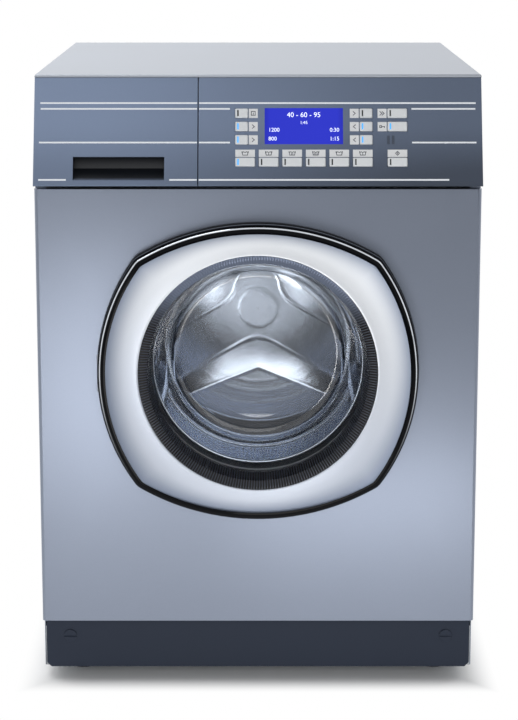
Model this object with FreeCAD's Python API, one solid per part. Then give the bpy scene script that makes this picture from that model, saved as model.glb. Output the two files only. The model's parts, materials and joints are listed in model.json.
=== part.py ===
import FreeCAD
import Part
import math
import os
from FreeCAD import Vector

# Front-loading washing machine, an assembly of separate pieces.
# Millimetres, +Z up, +Y to the back, origin on the floor under the middle of the machine.
# A depth d runs backwards from the front panel's face. On the leaning fascia, s runs up the slope
# from its lower edge and n stands out from its face.

# Overall sizes
WIDTH = 600.0
HEIGHT = 850.0
BODY_DEPTH = 615.0          # front panel face to back wall face
DOOR_PROUD = 28.0           # door in front of the front panel
REAR_PROUD = 15.0           # hose connections behind the back wall

# Sheet metal, moulding walls and gaps
SHEET = 1.2
FLANGE = 14.0               # folded edge of the cabinet sheet
PANEL_GAP = 0.5             # between neighbouring outer panels
SEAT_GAP = 0.3              # between a piece and its seat
RUN_GAP = 0.05              # shaft in its bore, on the radius

# Heights above the floor
FLOOR_GAP = 16.0            # lower edge of the plinth and the cabinet walls
PLINTH_TOP = 91.0
FASCIA_H = 145.5            # lower edge of the fascia to the top of the machine
FASCIA_GAP = 5.5            # shadow gap over the front panel
SHELL_DROP = 32.0           # top of the machine to the upper edge of the cabinet walls
AXIS_RISE = 54.5            # drum, tub and door centre above the middle of the front panel

# Front panel
PANEL_RETURN = 16.5         # folded-back edges
PANEL_EDGE_R = 5.0
PORT_R = 185.0              # loading port
PORT_FLANGE = 12.0          # turned-in edge of the port
LATCH_SLOT_W = 11.0
LATCH_SLOT_H = 32.0

# Plinth
PLINTH_INSET = 3.0          # each end, from the cabinet side
PLINTH_RECESS = 20.0
PLINTH_WALL = 3.0
PLINTH_BOSS = 3.0           # catch bosses, plinth to base frame
PLINTH_CHAMFER = 6.0
CATCH_INSET = 36.4
CATCH_Z = 61.7
CATCH_HEAD_R = 9.1
CATCH_HEAD_T = 2.0
CATCH_SHANK_R = 5.0
CATCH_SLOT_W = 2.2
CATCH_SLOT_DEPTH = 1.2
CATCH_CAM_LENGTH = 17.0
CATCH_CAM_W = 6.0
CATCH_CAM_T = 3.0

# Base frame and feet
BASE_WALL = 2.0
BASE_SIDE_H = 34.0
BASE_FRONT_H = 58.0
BASE_VENT = (170.0, 150.0)  # floor opening, across and along
BASE_VENT_R = 12.0
BASE_VENT_D = 335.0         # its centre
MEMBER_W = 44.0             # raised cross member under the dampers
MEMBER_H = 6.0
FOOT_INSET = 50.0
FOOT_FRONT_D = 78.0
FOOT_REAR_INSET = 55.0
FOOT_PAD_R = 22.0
FOOT_PAD_H = 7.0
FOOT_STEM_R = 5.0
FOOT_STEM_TOP = 62.0
FOOT_NUT_R = 9.8            # across the corners
FOOT_NUT_H = 8.0

# Back wall
SERVICE_R = 196.0           # service opening behind the pulley
SERVICE_LAP = 16.0
SERVICE_DISH = 9.0
SERVICE_DISH_R = 176.0
FIELD_DEPTH = 3.0           # pressed field on each side wall
FIELD_FRONT_D = 130.0
FIELD_REAR_INSET = 115.0
FIELD_LOW = 79.0            # above the plinth
FIELD_HIGH = 39.0           # below the top of the front panel
FIELD_SLOPE = 2.0           # run of the field's edge for each unit of depth

# Top cover and rails
COVER_T = 4.0
COVER_WALL = 3.0
COVER_EDGE_R = 2.6
RAIL_W = 24.0
RAIL_H = 20.0
FRONT_RAIL_GAP = 6.0        # behind the fascia
REAR_RAIL_INSET = 35.0
CROSSBAR_W = 14.0           # bar behind the top of the front panel
CROSSBAR_H = 16.0

# Fascia and drawer front
FASCIA_LEAN = 18.8          # degrees back from upright
FASCIA_OVERHANG = 14.3      # lower edge in front of the front panel
FASCIA_BACK = 60.0
FASCIA_WALL = 3.0
FASCIA_RIB = 2.5            # cheeks and returns
FASCIA_EDGE_R = 2.2
SEAM_X = -80.2              # drawer front to control fascia
SEAM_GAP = 1.4
INLAY_DEPTH = 0.8           # recess of a label plate
INLAY_T = 1.0
WINDOW_T = 1.5
WINDOW_LEDGE = 2.0

# Display and optical windows, x and s of their lower left corners
DISPLAY_X = 8.9
DISPLAY_S = 57.8
DISPLAY_W = 104.8
DISPLAY_H = 49.3
OPTIC_X = 172.4
OPTIC_PITCH = 6.4
OPTIC_W = 3.6
OPTIC_S = 57.8
OPTIC_H = 11.6

# Keys
KEY_PROUD = 2.2
KEY_TRAVEL = 1.5
KEY_CORNER_R = 1.6
KEY_BEVEL = 0.7
KEY_GAP = 0.4               # key to its window
KEY_LIP = 1.5               # retaining lip behind the fascia
KEY_LIP_T = 1.2
KEY_STEM_W = 6.0
KEY_STEM_H = 4.0
LED_INSET = 2.7
LED_W = 2.0
LED_H = 8.5
LED_DEPTH = 0.6
LABEL_GAP = 1.2             # key to its label plate
SMALL_KEY_W = 17.0
SMALL_LABEL_W = 12.0
WIDE_KEY_W = 26.2
ROW_S = 57.3                # lowest of three rows
ROW_PITCH = 18.1
ROW_H = 12.6
LEFT_COLUMN_X = -30.5
RIGHT_COLUMN_X = 122.8
WIDE_COLUMN_X = 160.0
PROGRAM_X = -30.3
PROGRAM_PITCH = 31.4
PROGRAM_S = 27.4
PROGRAM_H = 11.7
PROGRAM_LABEL_H = 10.0
PROGRAM_KEYS = 6
START_X = 173.0

# Display board
BOARD_DROP = 12.0           # face of the fascia to face of the board
BOARD_T = 1.6
BOARD_X = (-44.0, 212.0)
BOARD_S = (20.0, 112.0)
BOARD_POST_R = 3.5
BOARD_POST_INSET = 5.0
SWITCH_W = 6.0
MODULE_MARGIN = 3.0         # display module round its window

# Detergent drawer
GRIP_INSET = 53.0           # from the cabinet side
GRIP_W = 122.0
GRIP_S = (8.7, 40.6)
GRIP_DEPTH = 20.0
GRIP_HOOK = 5.4             # undercut behind the upper edge
GRIP_WALL = 2.0
BACKING_D = 42.0            # wall that carries the tray
BACKING_LOW = 7.5           # above the fascia's lower edge
BACKING_HIGH = 9.5          # below its upper edge
HOUSING_INSET = 9.0         # from the cabinet side
HOUSING_SEAM = 10.8         # from the seam of the fascia
HOUSING_GAP = 2.0           # behind the fascia
HOUSING_LENGTH = 243.0
HOUSING_H = 94.5
HOUSING_WALL = 2.5
RUNNER_H = 5.0
RUNNER_W = 6.0
TRAY_SIDE_GAP = 2.0
TRAY_REAR_GAP = 13.0
TRAY_H = 70.0
TRAY_WALL = 2.0
MAIN_W = 82.0               # main wash compartment
PREWASH_W = 56.0            # prewash compartment, the softener has the rest
SIPHON_LENGTH = 82.0
SIPHON_REAR = 27.5          # from the tray's end
SIPHON_H = 48.0
SIPHON_TUBE_R = 6.0

# Door outline: four arcs with rounded corners
DOOR_HALF_W = 218.5
DOOR_HALF_H = 205.5
DOOR_SIDE_R = 265.0
DOOR_TOP_R = 317.0
DOOR_CORNER_R = 26.0

# Door section
DOOR_GAP = 2.0              # back frame to front panel
BACK_FRAME_T = 8.0
BACK_FRAME_EDGE_R = 2.0
RIM_INSET = 1.0
RIM_W = 12.0
RIM_R = 11.5                # rounded flank
FACE_R = 162.5              # opening in the bezel
FACE_RISE = 7.0             # bezel dish, opening to outer edge
FACE_DROP = 1.0             # bezel below the rim
DISH_R = 216.0              # radius where the dish meets its full height
GLASS_FLANGE_R = 172.0
GLASS_FLANGE_T = 4.0
GLASS_T = 5.0
BOWL_R = 156.0              # outside of the bowl at its flange
BOWL_END_R = 128.0
BOWL_DEPTH = 105.0          # bowl's end behind the front panel
BOWL_ROUND = 20.0

# Door hinge and latch
HINGE_INSET = 4.0           # pivot from the door's left edge
HINGE_D = -14.0
HINGE_KNUCKLE_R = 3.5
HINGE_PIN_R = 2.5
HINGE_LENGTH = 51.0
HINGE_MIDDLE = 24.0         # fixed knuckle
HINGE_LEAF_T = 2.5
HINGE_FOOT_T = 2.0
HINGE_FOOT_W = 26.0
HINGE_ARM_W = 30.0
HINGE_ARM_T = 5.0
NOTCH_FRONT = -18.0         # rim is cut away behind this depth
LATCH_X = 196.0
LATCH_T = 4.0
LATCH_H = 20.0
LATCH_REACH = 20.0
LATCH_FOOT_W = 14.0
LOCK_W = 30.0
LOCK_H = 70.0
LOCK_DEPTH = 34.0
LOCK_WALL = 2.5

# Tub
TUB_SIDE_ROOM = 40.8        # tub to the cabinet side
TUB_HEADROOM = 14.5         # tub to the dispenser
DRUM_CLEAR = 14.0           # drum to tub wall
TUB_WALL = 4.0
NECK_LENGTH = 11.0
TUB_SPLIT_GAP = 16.0        # water spigot to the split
DRUM_REAR_CLEAR = 35.0      # drum to the tub's back wall
TUB_BACK_T = 6.0
TUB_RIM_H = 4.0
TUB_RIM_T = 6.0
NECK_R = 176.0
NECK_WALL = 4.0
NECK_GAP = 4.0              # behind the gasket's last fold
HUB_R = 50.0
HUB_GAP = 3.0               # behind the spider
HUB_LENGTH = 71.0
TUB_RIBS = 6
TUB_RIB_W = 6.0
TUB_RIB_H = 14.0
SUMP_X = 45.0
SUMP_FRONT = 20.0           # behind the split
SUMP_REAR = 21.0            # in front of the tub's back
SUMP_DEPTH = 23.5           # below the tub
SUMP_WALL = 4.0

# Bearings, shaft and drum
BEARING_R = 31.0
BEARING_W = 16.0
BEARING_END = 3.0           # bearing from the hub's end
SHAFT_R = 15.0
SHAFT_OVER = 8.0            # shaft past its pulley
DRUM_FRONT_CLEAR = 24.0     # tub's front wall to the drum mouth
DRUM_CONE = 18.0            # depth of the coned front
DRIVE_SPACE = 193.8         # drum to the cabinet's back wall
DRUM_MOUTH_R = 165.0
DRUM_DISH_R = 135.0
DRUM_DISH_RUN = 30.0
DRUM_DISH = 10.8
SPIDER_HUB_R = 45.0
SPIDER_HUB_OVER = 6.0       # hub past the arms
SPIDER_ARM_W = 36.0
SPIDER_ARM_T = 20.0
SPIDER_INSET = 8.0
LIFTERS = 3
LIFTER_INSET = 15.0         # from the cone and from the back
LIFTER_FOOT = 84.0
LIFTER_H = 58.0
LIFTER_CREST_R = 12.0

# Drive
PULLEY_R = 140.0
PULLEY_RIM = 12.0
PULLEY_GAP = 10.0           # behind the hub and behind the motor
PULLEY_W = 18.0
PULLEY_HUB_R = 28.0
PULLEY_SPOKES = 5
SPOKE_W = 20.0
MOTOR_X = -125.0
MOTOR_R = 60.0
MOTOR_LENGTH = 190.0
MOTOR_PAD_W = 64.0
MOTOR_PAD_INSET = 22.0
MOTOR_PAD_LENGTH = 88.0
MOTOR_PAD_H = 3.0           # above the motor's round body
MOTOR_HANG = 25.8           # tub wall to the pad
MOTOR_SHAFT_R = 7.0
MOTOR_SHAFT_HIDDEN = 24.0
MOTOR_PULLEY_R = 12.0
BELT_T = 3.0
BELT_INSET = 2.0            # belt edge from the pulley's edge
BELT_GAP = 0.3

# Heater
HEATER_R = 3.4
HEATER_SPREAD = 22.0
HEATER_RISE = 12.0          # above the sump's underside
HEATER_INSET = 14.0
HEATER_PLATE = (60.0, 22.0, 5.0)

# Counterweights
WEIGHT_CLEAR = 14.0         # from the neck
WEIGHT_INSET = 18.0         # from the tub wall
WEIGHT_T = 36.0
WEIGHT_ARC = 100.0          # degrees
BLOCK_X = (-55.0, 145.0)
BLOCK_FRONT = 75.0          # behind the tub's front
BLOCK_REAR = 61.0           # in front of its back
BLOCK_H = 32.5              # above the tub

# Suspension
HANGER_X = 190.0
HANGER_CLEAR = 35.0         # behind the dispenser
LUG_H = 26.0                # above the tub wall
LUG_W = 24.0
LUG_T = 14.0
SPRING_R = 14.0
SPRING_WIRE = 3.0
SPRING_HOOK = 20.0
DAMPER_X = 150.0
DAMPER_CLEAR = 70.0         # in front of the split
DAMPER_R = 17.0
DAMPER_TOP = 150.0
DAMPER_FLOOR = 6.0
ROD_R = 6.0
ROD_BOTTOM = 72.0
DAMPER_HANG = 34.6          # tub wall to the rod's top
DAMPER_LUG_W = 26.0

# Gasket
GASKET_T = 3.0
GASKET_LIP_D = (10.0, 14.0)
GASKET_FOLD_R = 160.0
GASKET_FOLD_D = (28.0, 40.0)
GASKET_OUT_D = (22.0, 46.0)
GASKET_REAR_D = 60.0
GASKET_NECK_LAP = 8.0
GASKET_LIP_GAP = 1.0

# Pump, hoses and connections
PUMP_X = 190.0
PUMP_Z = 75.0
PUMP_R = 32.0
PUMP_FOOT_W = 51.2
PUMP_D = (44.0, 150.0)
PUMP_INLET_D = 120.0
PUMP_INLET_R = 14.0
PUMP_INLET_REACH = 52.0
PUMP_INLET_RISE = 21.0      # above the pump's axis
PUMP_CAP_R = 25.0
PUMP_CAP_T = 10.0
DRAIN_INSET = 64.0
DRAIN_Z = 82.0
DRAIN_R = 10.5
INLET_INSET = 60.0
INLET_DROP = 38.0           # below the cabinet walls' upper edge
INLET_THREAD_R = 13.2       # three-quarter inch hose thread
INLET_STUB_R = 8.0
VALVE_W = 44.0
VALVE_LENGTH = 53.8
COLLAR_GAP = 1.0            # back wall to the hose seat
NECK_STEP = 0.6             # hose spigots are slimmer in the wall
SPIGOT_PLATE_T = 6.0
STUB = 15.0
HOSE_GAP = 0.3
HOSE_WALL = 2.6
SPOUT_X = -190.0
SPOUT_REAR = 65.0           # from the dispenser's back
SPOUT_R = 14.0
SPOUT_H = 18.0
TUB_SPIGOT_H = 19.0
SUMP_OUT_X = 20.0
SUMP_OUT_INSET = 22.0
SUMP_OUT_R = 14.0
SUMP_OUT_H = 18.0
SUMP_HOSE_R = 34.0
GLAND_INSET = 50.0
GLAND_Z = 150.0
GLAND_R = 12.0
GLAND_NECK_R = 8.2
GLAND_BORE_R = 4.5
GLAND_DOME = 11.0

# Worked-out places
FRONT = (DOOR_PROUD - BODY_DEPTH - REAR_PROUD) / 2
HALF = WIDTH / 2
LEAN = math.radians(FASCIA_LEAN)
COVER_UNDER = HEIGHT - COVER_T
FASCIA_BOTTOM = HEIGHT - FASCIA_H
FASCIA_TOP = COVER_UNDER - PANEL_GAP
FASCIA_TOP_D = (FASCIA_TOP - FASCIA_BOTTOM) * math.tan(LEAN) - FASCIA_OVERHANG
COVER_FRONT_D = FASCIA_TOP_D - PANEL_GAP
PANEL_TOP = FASCIA_BOTTOM - FASCIA_GAP
SHELL_TOP = HEIGHT - SHELL_DROP
AXIS_Z = (PLINTH_TOP + PANEL_TOP) / 2 + AXIS_RISE
BACK_INSIDE_D = BODY_DEPTH - SHEET
FRONT_RAIL_D = FASCIA_BACK + FRONT_RAIL_GAP
REAR_RAIL_D = BODY_DEPTH - REAR_RAIL_INSET
FIELD_D = (FIELD_FRONT_D, BODY_DEPTH - FIELD_REAR_INSET)
FIELD_Z = (PLINTH_TOP + FIELD_LOW, PANEL_TOP - FIELD_HIGH)

PLINTH_W = WIDTH - 2 * PLINTH_INSET
BASE_FRONT_D = PLINTH_RECESS + PLINTH_WALL + PLINTH_BOSS
BASE_TOP = FLOOR_GAP + BASE_WALL
MEMBER_TOP = BASE_TOP + MEMBER_H
CATCH_X = HALF - CATCH_INSET
FOOT_X = HALF - FOOT_INSET
FOOT_REAR_D = BODY_DEPTH - FOOT_REAR_INSET

DOOR_BACK_D = -DOOR_GAP
DOOR_MID_D = DOOR_BACK_D - BACK_FRAME_T
HINGE_X = -DOOR_HALF_W + HINGE_INSET

GRIP_X = (GRIP_INSET - HALF, GRIP_INSET - HALF + GRIP_W)
BACKING_Z = (FASCIA_BOTTOM + BACKING_LOW, FASCIA_TOP - BACKING_HIGH)
HOUSING_X = (HOUSING_INSET - HALF, SEAM_X - HOUSING_SEAM)
HOUSING_D = (FASCIA_BACK + HOUSING_GAP, FASCIA_BACK + HOUSING_GAP + HOUSING_LENGTH)
HOUSING_TOP = SHELL_TOP - SHEET - SEAT_GAP
HOUSING_BOTTOM = HOUSING_TOP - HOUSING_H
TRAY_D = (BACKING_D + FASCIA_RIB, HOUSING_D[1] - HOUSING_WALL - TRAY_REAR_GAP)
TRAY_X = (HOUSING_X[0] + HOUSING_WALL + TRAY_SIDE_GAP, HOUSING_X[1] - HOUSING_WALL - TRAY_SIDE_GAP)
TRAY_Z = HOUSING_BOTTOM + HOUSING_WALL + RUNNER_H + SEAT_GAP
SOFTENER_X = (TRAY_X[0] + MAIN_W + PREWASH_W, TRAY_X[1])
SIPHON_D = (TRAY_D[1] - SIPHON_REAR - SIPHON_LENGTH, TRAY_D[1] - SIPHON_REAR)
SPOUT_D = HOUSING_D[1] - SPOUT_REAR
SPOUT_BOTTOM = HOUSING_BOTTOM - SPOUT_H

TUB_R = min(HALF - SHEET - TUB_SIDE_ROOM, HOUSING_BOTTOM - AXIS_Z - TUB_HEADROOM)
DRUM_R = TUB_R - TUB_WALL - DRUM_CLEAR
TUB_RIM_R = TUB_R + TUB_RIM_H
NECK_D = GASKET_REAR_D + NECK_GAP
TUB_FRONT_D = NECK_D + NECK_LENGTH
TUB_SPLIT_D = SPOUT_D + SPOUT_R + TUB_SPLIT_GAP
DRUM_FRONT_D = TUB_FRONT_D + DRUM_FRONT_CLEAR
DRUM_SHOULDER_D = DRUM_FRONT_D + DRUM_CONE
DRUM_BACK_D = BACK_INSIDE_D - DRIVE_SPACE
TUB_BACK_D = DRUM_BACK_D + DRUM_REAR_CLEAR + TUB_BACK_T
SPIDER_END_D = DRUM_BACK_D + SPIDER_ARM_T + SPIDER_HUB_OVER
HUB_D = (SPIDER_END_D + HUB_GAP, SPIDER_END_D + HUB_GAP + HUB_LENGTH)
PULLEY_D = (HUB_D[1] + PULLEY_GAP, HUB_D[1] + PULLEY_GAP + PULLEY_W)
SHAFT_END_D = PULLEY_D[1] + SHAFT_OVER
SPIDER_REACH = DRUM_R - SPIDER_INSET
LIFTER_D = (DRUM_SHOULDER_D + LIFTER_INSET, DRUM_BACK_D - LIFTER_INSET)
SUMP_D = (TUB_SPLIT_D + SUMP_FRONT, TUB_BACK_D - SUMP_REAR)
SUMP_BOTTOM = AXIS_Z - TUB_R - SUMP_DEPTH
HEATER_Z = SUMP_BOTTOM + HEATER_RISE
HEATER_D = (SUMP_D[0] + HEATER_INSET, SUMP_D[1] + HEATER_PLATE[2])
MOTOR_D = (HUB_D[1] - MOTOR_LENGTH, HUB_D[1])
MOTOR_PAD_D = (MOTOR_D[0] + MOTOR_PAD_INSET, MOTOR_D[0] + MOTOR_PAD_INSET + MOTOR_PAD_LENGTH)
MOTOR_PAD_Z = AXIS_Z - math.sqrt(TUB_R ** 2 - MOTOR_X ** 2) - MOTOR_HANG
MOTOR_Z = MOTOR_PAD_Z - MOTOR_PAD_H - MOTOR_R
WEIGHT_R = (NECK_R + WEIGHT_CLEAR, TUB_R - WEIGHT_INSET)
BLOCK_D = (TUB_FRONT_D + BLOCK_FRONT, TUB_BACK_D - BLOCK_REAR)
BLOCK_TOP = AXIS_Z + TUB_R + BLOCK_H
HANGER_D = HOUSING_D[1] + HANGER_CLEAR
LUG_TOP = AXIS_Z + math.sqrt(TUB_R ** 2 - HANGER_X ** 2) + LUG_H
DAMPER_D = TUB_SPLIT_D - DAMPER_CLEAR
ROD_TOP = AXIS_Z - math.sqrt(TUB_R ** 2 - DAMPER_X ** 2) - DAMPER_HANG

DRAIN_X = HALF - DRAIN_INSET
INLET_X = INLET_INSET - HALF
INLET_Z = SHELL_TOP - INLET_DROP
GLAND_X = GLAND_INSET - HALF
VALVE_D = BACK_INSIDE_D - VALVE_LENGTH
HOSE_SEAT_D = BODY_DEPTH + COLLAR_GAP
SUMP_OUT_D = SUMP_D[0] + SUMP_OUT_INSET
SUMP_OUT_BOTTOM = SUMP_BOTTOM - SUMP_OUT_H
SUMP_HOSE_TURN_Z = PUMP_Z + PUMP_INLET_RISE
SPIGOT_SEAT_Z = AXIS_Z + math.sqrt(TUB_R ** 2 - (SPOUT_X + SPOUT_R + HOSE_GAP + HOSE_WALL) ** 2)
TUB_SPIGOT_TOP = SPIGOT_SEAT_Z + TUB_SPIGOT_H
SWITCH_H = BOARD_DROP - FASCIA_WALL - SEAT_GAP - KEY_LIP_T - KEY_STEM_H - KEY_TRAVEL - SEAT_GAP
SLOPE = FreeCAD.Placement(Vector(0, FRONT - FASCIA_OVERHANG, FASCIA_BOTTOM),
                          FreeCAD.Rotation(Vector(1, 0, 0), 90 - FASCIA_LEAN))


# Shape helpers
def block(x, d, z):
    """Box between two x, two depths and two heights."""
    return Part.makeBox(x[1] - x[0], d[1] - d[0], z[1] - z[0], Vector(x[0], FRONT + d[0], z[0]))


def shaft(x, z, radius, d):
    """Round bar that runs front to back."""
    return Part.makeCylinder(radius, d[1] - d[0], Vector(x, FRONT + d[0], z), Vector(0, 1, 0))


def post(x, d, radius, z):
    """Upright round bar."""
    return Part.makeCylinder(radius, z[1] - z[0], Vector(x, FRONT + d, z[0]))


def across(points, x):
    """Profile of depths and heights, extruded across the machine."""
    corners = [Vector(x[0], FRONT + d, z) for d, z in points]
    face = Part.Face(Part.makePolygon(corners + corners[:1]))
    return face.extrude(Vector(x[1] - x[0], 0, 0))


def turned(profile):
    """Profile of radii and depths, turned about the drum axis."""
    corners = [Vector(r, FRONT + d, AXIS_Z) for r, d in profile]
    face = Part.Face(Part.makePolygon(corners + corners[:1]))
    return face.revolve(Vector(0, 0, AXIS_Z), Vector(0, 1, 0), 360)


def pipe(radius, bore, x, z, d):
    """Tube that runs front to back."""
    return shaft(x, z, radius, d).cut(shaft(x, z, bore, d))


def on_slope(x, s, n):
    """Box in the fascia's own directions."""
    shape = Part.makeBox(x[1] - x[0], s[1] - s[0], n[1] - n[0], Vector(x[0], s[0], n[0]))
    shape.Placement = SLOPE.multiply(shape.Placement)
    return shape


def joined(shapes):
    return shapes[0].multiFuse(shapes[1:]).removeSplitter()


def without(shape, cutters):
    return shape.cut(Part.makeCompound(cutters)) if cutters else shape


def edges_at(shape, chosen):
    """Edges whose middle point satisfies a test."""
    return [edge for edge in shape.Edges if chosen(edge.CenterOfMass)]


def near(value, target):
    return abs(value - target) < 0.01


def channel(x, d, z):
    """Folded rail, open underneath."""
    hollow_x = (x[0] - 1, x[1] + 1)
    hollow_d = (d[0] + SHEET, d[1] - SHEET)
    if d[1] - d[0] > x[1] - x[0]:
        hollow_x = (x[0] + SHEET, x[1] - SHEET)
        hollow_d = (d[0] - 1, d[1] + 1)
    return block(x, d, z).cut(block(hollow_x, hollow_d, (z[0] - 1, z[1] - SHEET)))


# Cabinet
def base_frame():
    half = HALF - SHEET - SEAT_GAP
    back = BACK_INSIDE_D - SEAT_GAP
    tray = block((-half, half), (BASE_FRONT_D, back), (FLOOR_GAP, FLOOR_GAP + BASE_SIDE_H))
    corners = edges_at(tray, lambda p: near(p.y, FRONT + back) and near(abs(p.x), half))
    tray = tray.makeFillet(PANEL_EDGE_R, corners)
    inner = block((BASE_WALL - half, half - BASE_WALL), (BASE_FRONT_D + BASE_WALL, back - BASE_WALL),
                  (BASE_TOP, FLOOR_GAP + BASE_SIDE_H + 1))
    inner_half = half - BASE_WALL
    corners = edges_at(inner, lambda p: near(p.y, FRONT + back - BASE_WALL) and near(abs(p.x), inner_half))
    inner = inner.makeFillet(PANEL_EDGE_R - BASE_WALL, corners)
    front_d = (BASE_FRONT_D, BASE_FRONT_D + BASE_WALL)
    front = block((-half, half), front_d, (FLOOR_GAP, FLOOR_GAP + BASE_FRONT_H))
    member = block((BASE_WALL - half, half - BASE_WALL), (DAMPER_D - MEMBER_W / 2, DAMPER_D + MEMBER_W / 2),
                   (BASE_TOP, MEMBER_TOP))
    vent = block((-BASE_VENT[0] / 2, BASE_VENT[0] / 2), grown((BASE_VENT_D, BASE_VENT_D), BASE_VENT[1] / 2),
                 (FLOOR_GAP - 1, BASE_TOP + 1))
    corners = edges_at(vent, lambda p: near(p.z, (FLOOR_GAP + BASE_TOP) / 2))
    vent = vent.makeFillet(BASE_VENT_R, corners)
    holes = [vent]
    for x, d in foot_places():
        holes.append(post(x, d, FOOT_STEM_R + SEAT_GAP, (FLOOR_GAP - 1, BASE_TOP + 1)))
    for x in (-CATCH_X, CATCH_X):
        holes.append(shaft(x, CATCH_Z, CATCH_SHANK_R + SEAT_GAP, grown(front_d, 1)))
    return without(joined([tray.cut(inner), front, member]), holes)


def foot_places():
    return [(x, d) for d in (FOOT_FRONT_D, FOOT_REAR_D) for x in (-FOOT_X, FOOT_X)]


def levelling_feet():
    """Four screw feet, each with its lock nut under the base frame."""
    pieces = []
    for x, d in foot_places():
        pad = Part.makeCone(FOOT_PAD_R, FOOT_PAD_R - FOOT_PAD_H / 3, FOOT_PAD_H, Vector(x, FRONT + d, 0))
        pieces.append(joined([pad, post(x, d, FOOT_STEM_R, (FOOT_PAD_H / 2, FOOT_STEM_TOP))]))
        corners = []
        for turn in range(7):
            angle = math.radians(60 * turn)
            corners.append(Vector(x + FOOT_NUT_R * math.cos(angle), FRONT + d + FOOT_NUT_R * math.sin(angle),
                                  FLOOR_GAP - FOOT_NUT_H))
        nut = Part.Face(Part.makePolygon(corners)).extrude(Vector(0, 0, FOOT_NUT_H))
        pieces.append(nut.cut(post(x, d, FOOT_STEM_R + RUN_GAP, (FLOOR_GAP - FOOT_NUT_H - 1, FLOOR_GAP + 1))))
    return Part.makeCompound(pieces)


def field_loft(side, shift):
    """Tapered block that presses the shallow field into a side wall."""
    wires = []
    for step in (FIELD_DEPTH, -FIELD_DEPTH):
        grow = step * FIELD_SLOPE
        x = side * (HALF + step - shift)
        d = (FIELD_D[0] - grow, FIELD_D[1] + grow)
        z = (FIELD_Z[0] - grow, FIELD_Z[1] + grow)
        corners = [Vector(x, FRONT + d[0], z[0]), Vector(x, FRONT + d[1], z[0]),
                   Vector(x, FRONT + d[1], z[1]), Vector(x, FRONT + d[0], z[1])]
        wires.append(Part.makePolygon(corners + corners[:1]))
    return Part.makeLoft(wires, True, True)


def cabinet_shell():
    """Left wall, back and right wall, folded from one sheet."""
    front = PANEL_RETURN + PANEL_GAP
    upper = FASCIA_BOTTOM - PANEL_GAP
    upper_d = FASCIA_BACK + PANEL_GAP
    outer = block((-HALF, HALF), (front, BODY_DEPTH), (FLOOR_GAP, SHELL_TOP))
    corners = edges_at(outer, lambda p: near(p.y, FRONT + BODY_DEPTH) and near(abs(p.x), HALF))
    outer = outer.makeFillet(PANEL_EDGE_R, corners)
    inner_half = HALF - SHEET
    inside = block((-inner_half, inner_half), (front - 1, BACK_INSIDE_D), (FLOOR_GAP - 1, SHELL_TOP + 1))
    corners = edges_at(inside, lambda p: near(p.y, FRONT + BACK_INSIDE_D) and near(abs(p.x), inner_half))
    inside = inside.makeFillet(PANEL_EDGE_R - SHEET, corners)
    shell = outer.cut(inside)
    fold_z = (SHELL_TOP - SHEET, SHELL_TOP)
    folds = [block((-inner_half, inner_half), (BODY_DEPTH - FLANGE, BACK_INSIDE_D), fold_z)]
    pressings = []
    for side in (-1, 1):
        edge = sorted((side * (HALF - FLANGE), side * HALF))
        folds.append(block(edge, (front, front + SHEET), (PLINTH_TOP, upper)))
        folds.append(block(edge, (upper_d, BODY_DEPTH - FLANGE), (SHELL_TOP - SHEET, SHELL_TOP)))
        behind = sorted((side * (HALF - SHEET / 2), side * (HALF - 20 * SHEET)))
        folds.append(field_loft(side, SHEET).common(block(behind, (0, BODY_DEPTH), (0, HEIGHT))))
        pressings.append(field_loft(side, 0))
    shell = joined([shell] + folds)
    cuts = pressings + [
        block((-HALF - 1, HALF + 1), (0, upper_d), (upper, HEIGHT)),
        block((-HALF - 1, HALF + 1), (0, BASE_FRONT_D + PANEL_GAP), (0, PLINTH_TOP)),
        shaft(0, AXIS_Z, SERVICE_R, (BACK_INSIDE_D - 1, BODY_DEPTH + 1)),
        shaft(INLET_X, INLET_Z, INLET_THREAD_R + SEAT_GAP, (BACK_INSIDE_D - 1, BODY_DEPTH + 1)),
        shaft(DRAIN_X, DRAIN_Z, DRAIN_R + SEAT_GAP, (BACK_INSIDE_D - 1, BODY_DEPTH + 1)),
        shaft(GLAND_X, GLAND_Z, GLAND_NECK_R + SEAT_GAP, (BACK_INSIDE_D - 1, BODY_DEPTH + 1))]
    return without(shell, cuts)


def rear_service_cover():
    """Dished lid over the pulley opening."""
    lap_r = SERVICE_R + SERVICE_LAP
    top = BODY_DEPTH + SERVICE_DISH
    return turned([(0, top), (SERVICE_DISH_R, top), (SERVICE_DISH_R + SERVICE_DISH, BODY_DEPTH + SHEET),
                   (lap_r, BODY_DEPTH + SHEET), (lap_r, BODY_DEPTH),
                   (SERVICE_DISH_R + SERVICE_DISH - SHEET, BODY_DEPTH), (SERVICE_DISH_R - SHEET, top - SHEET),
                   (0, top - SHEET)])


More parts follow.
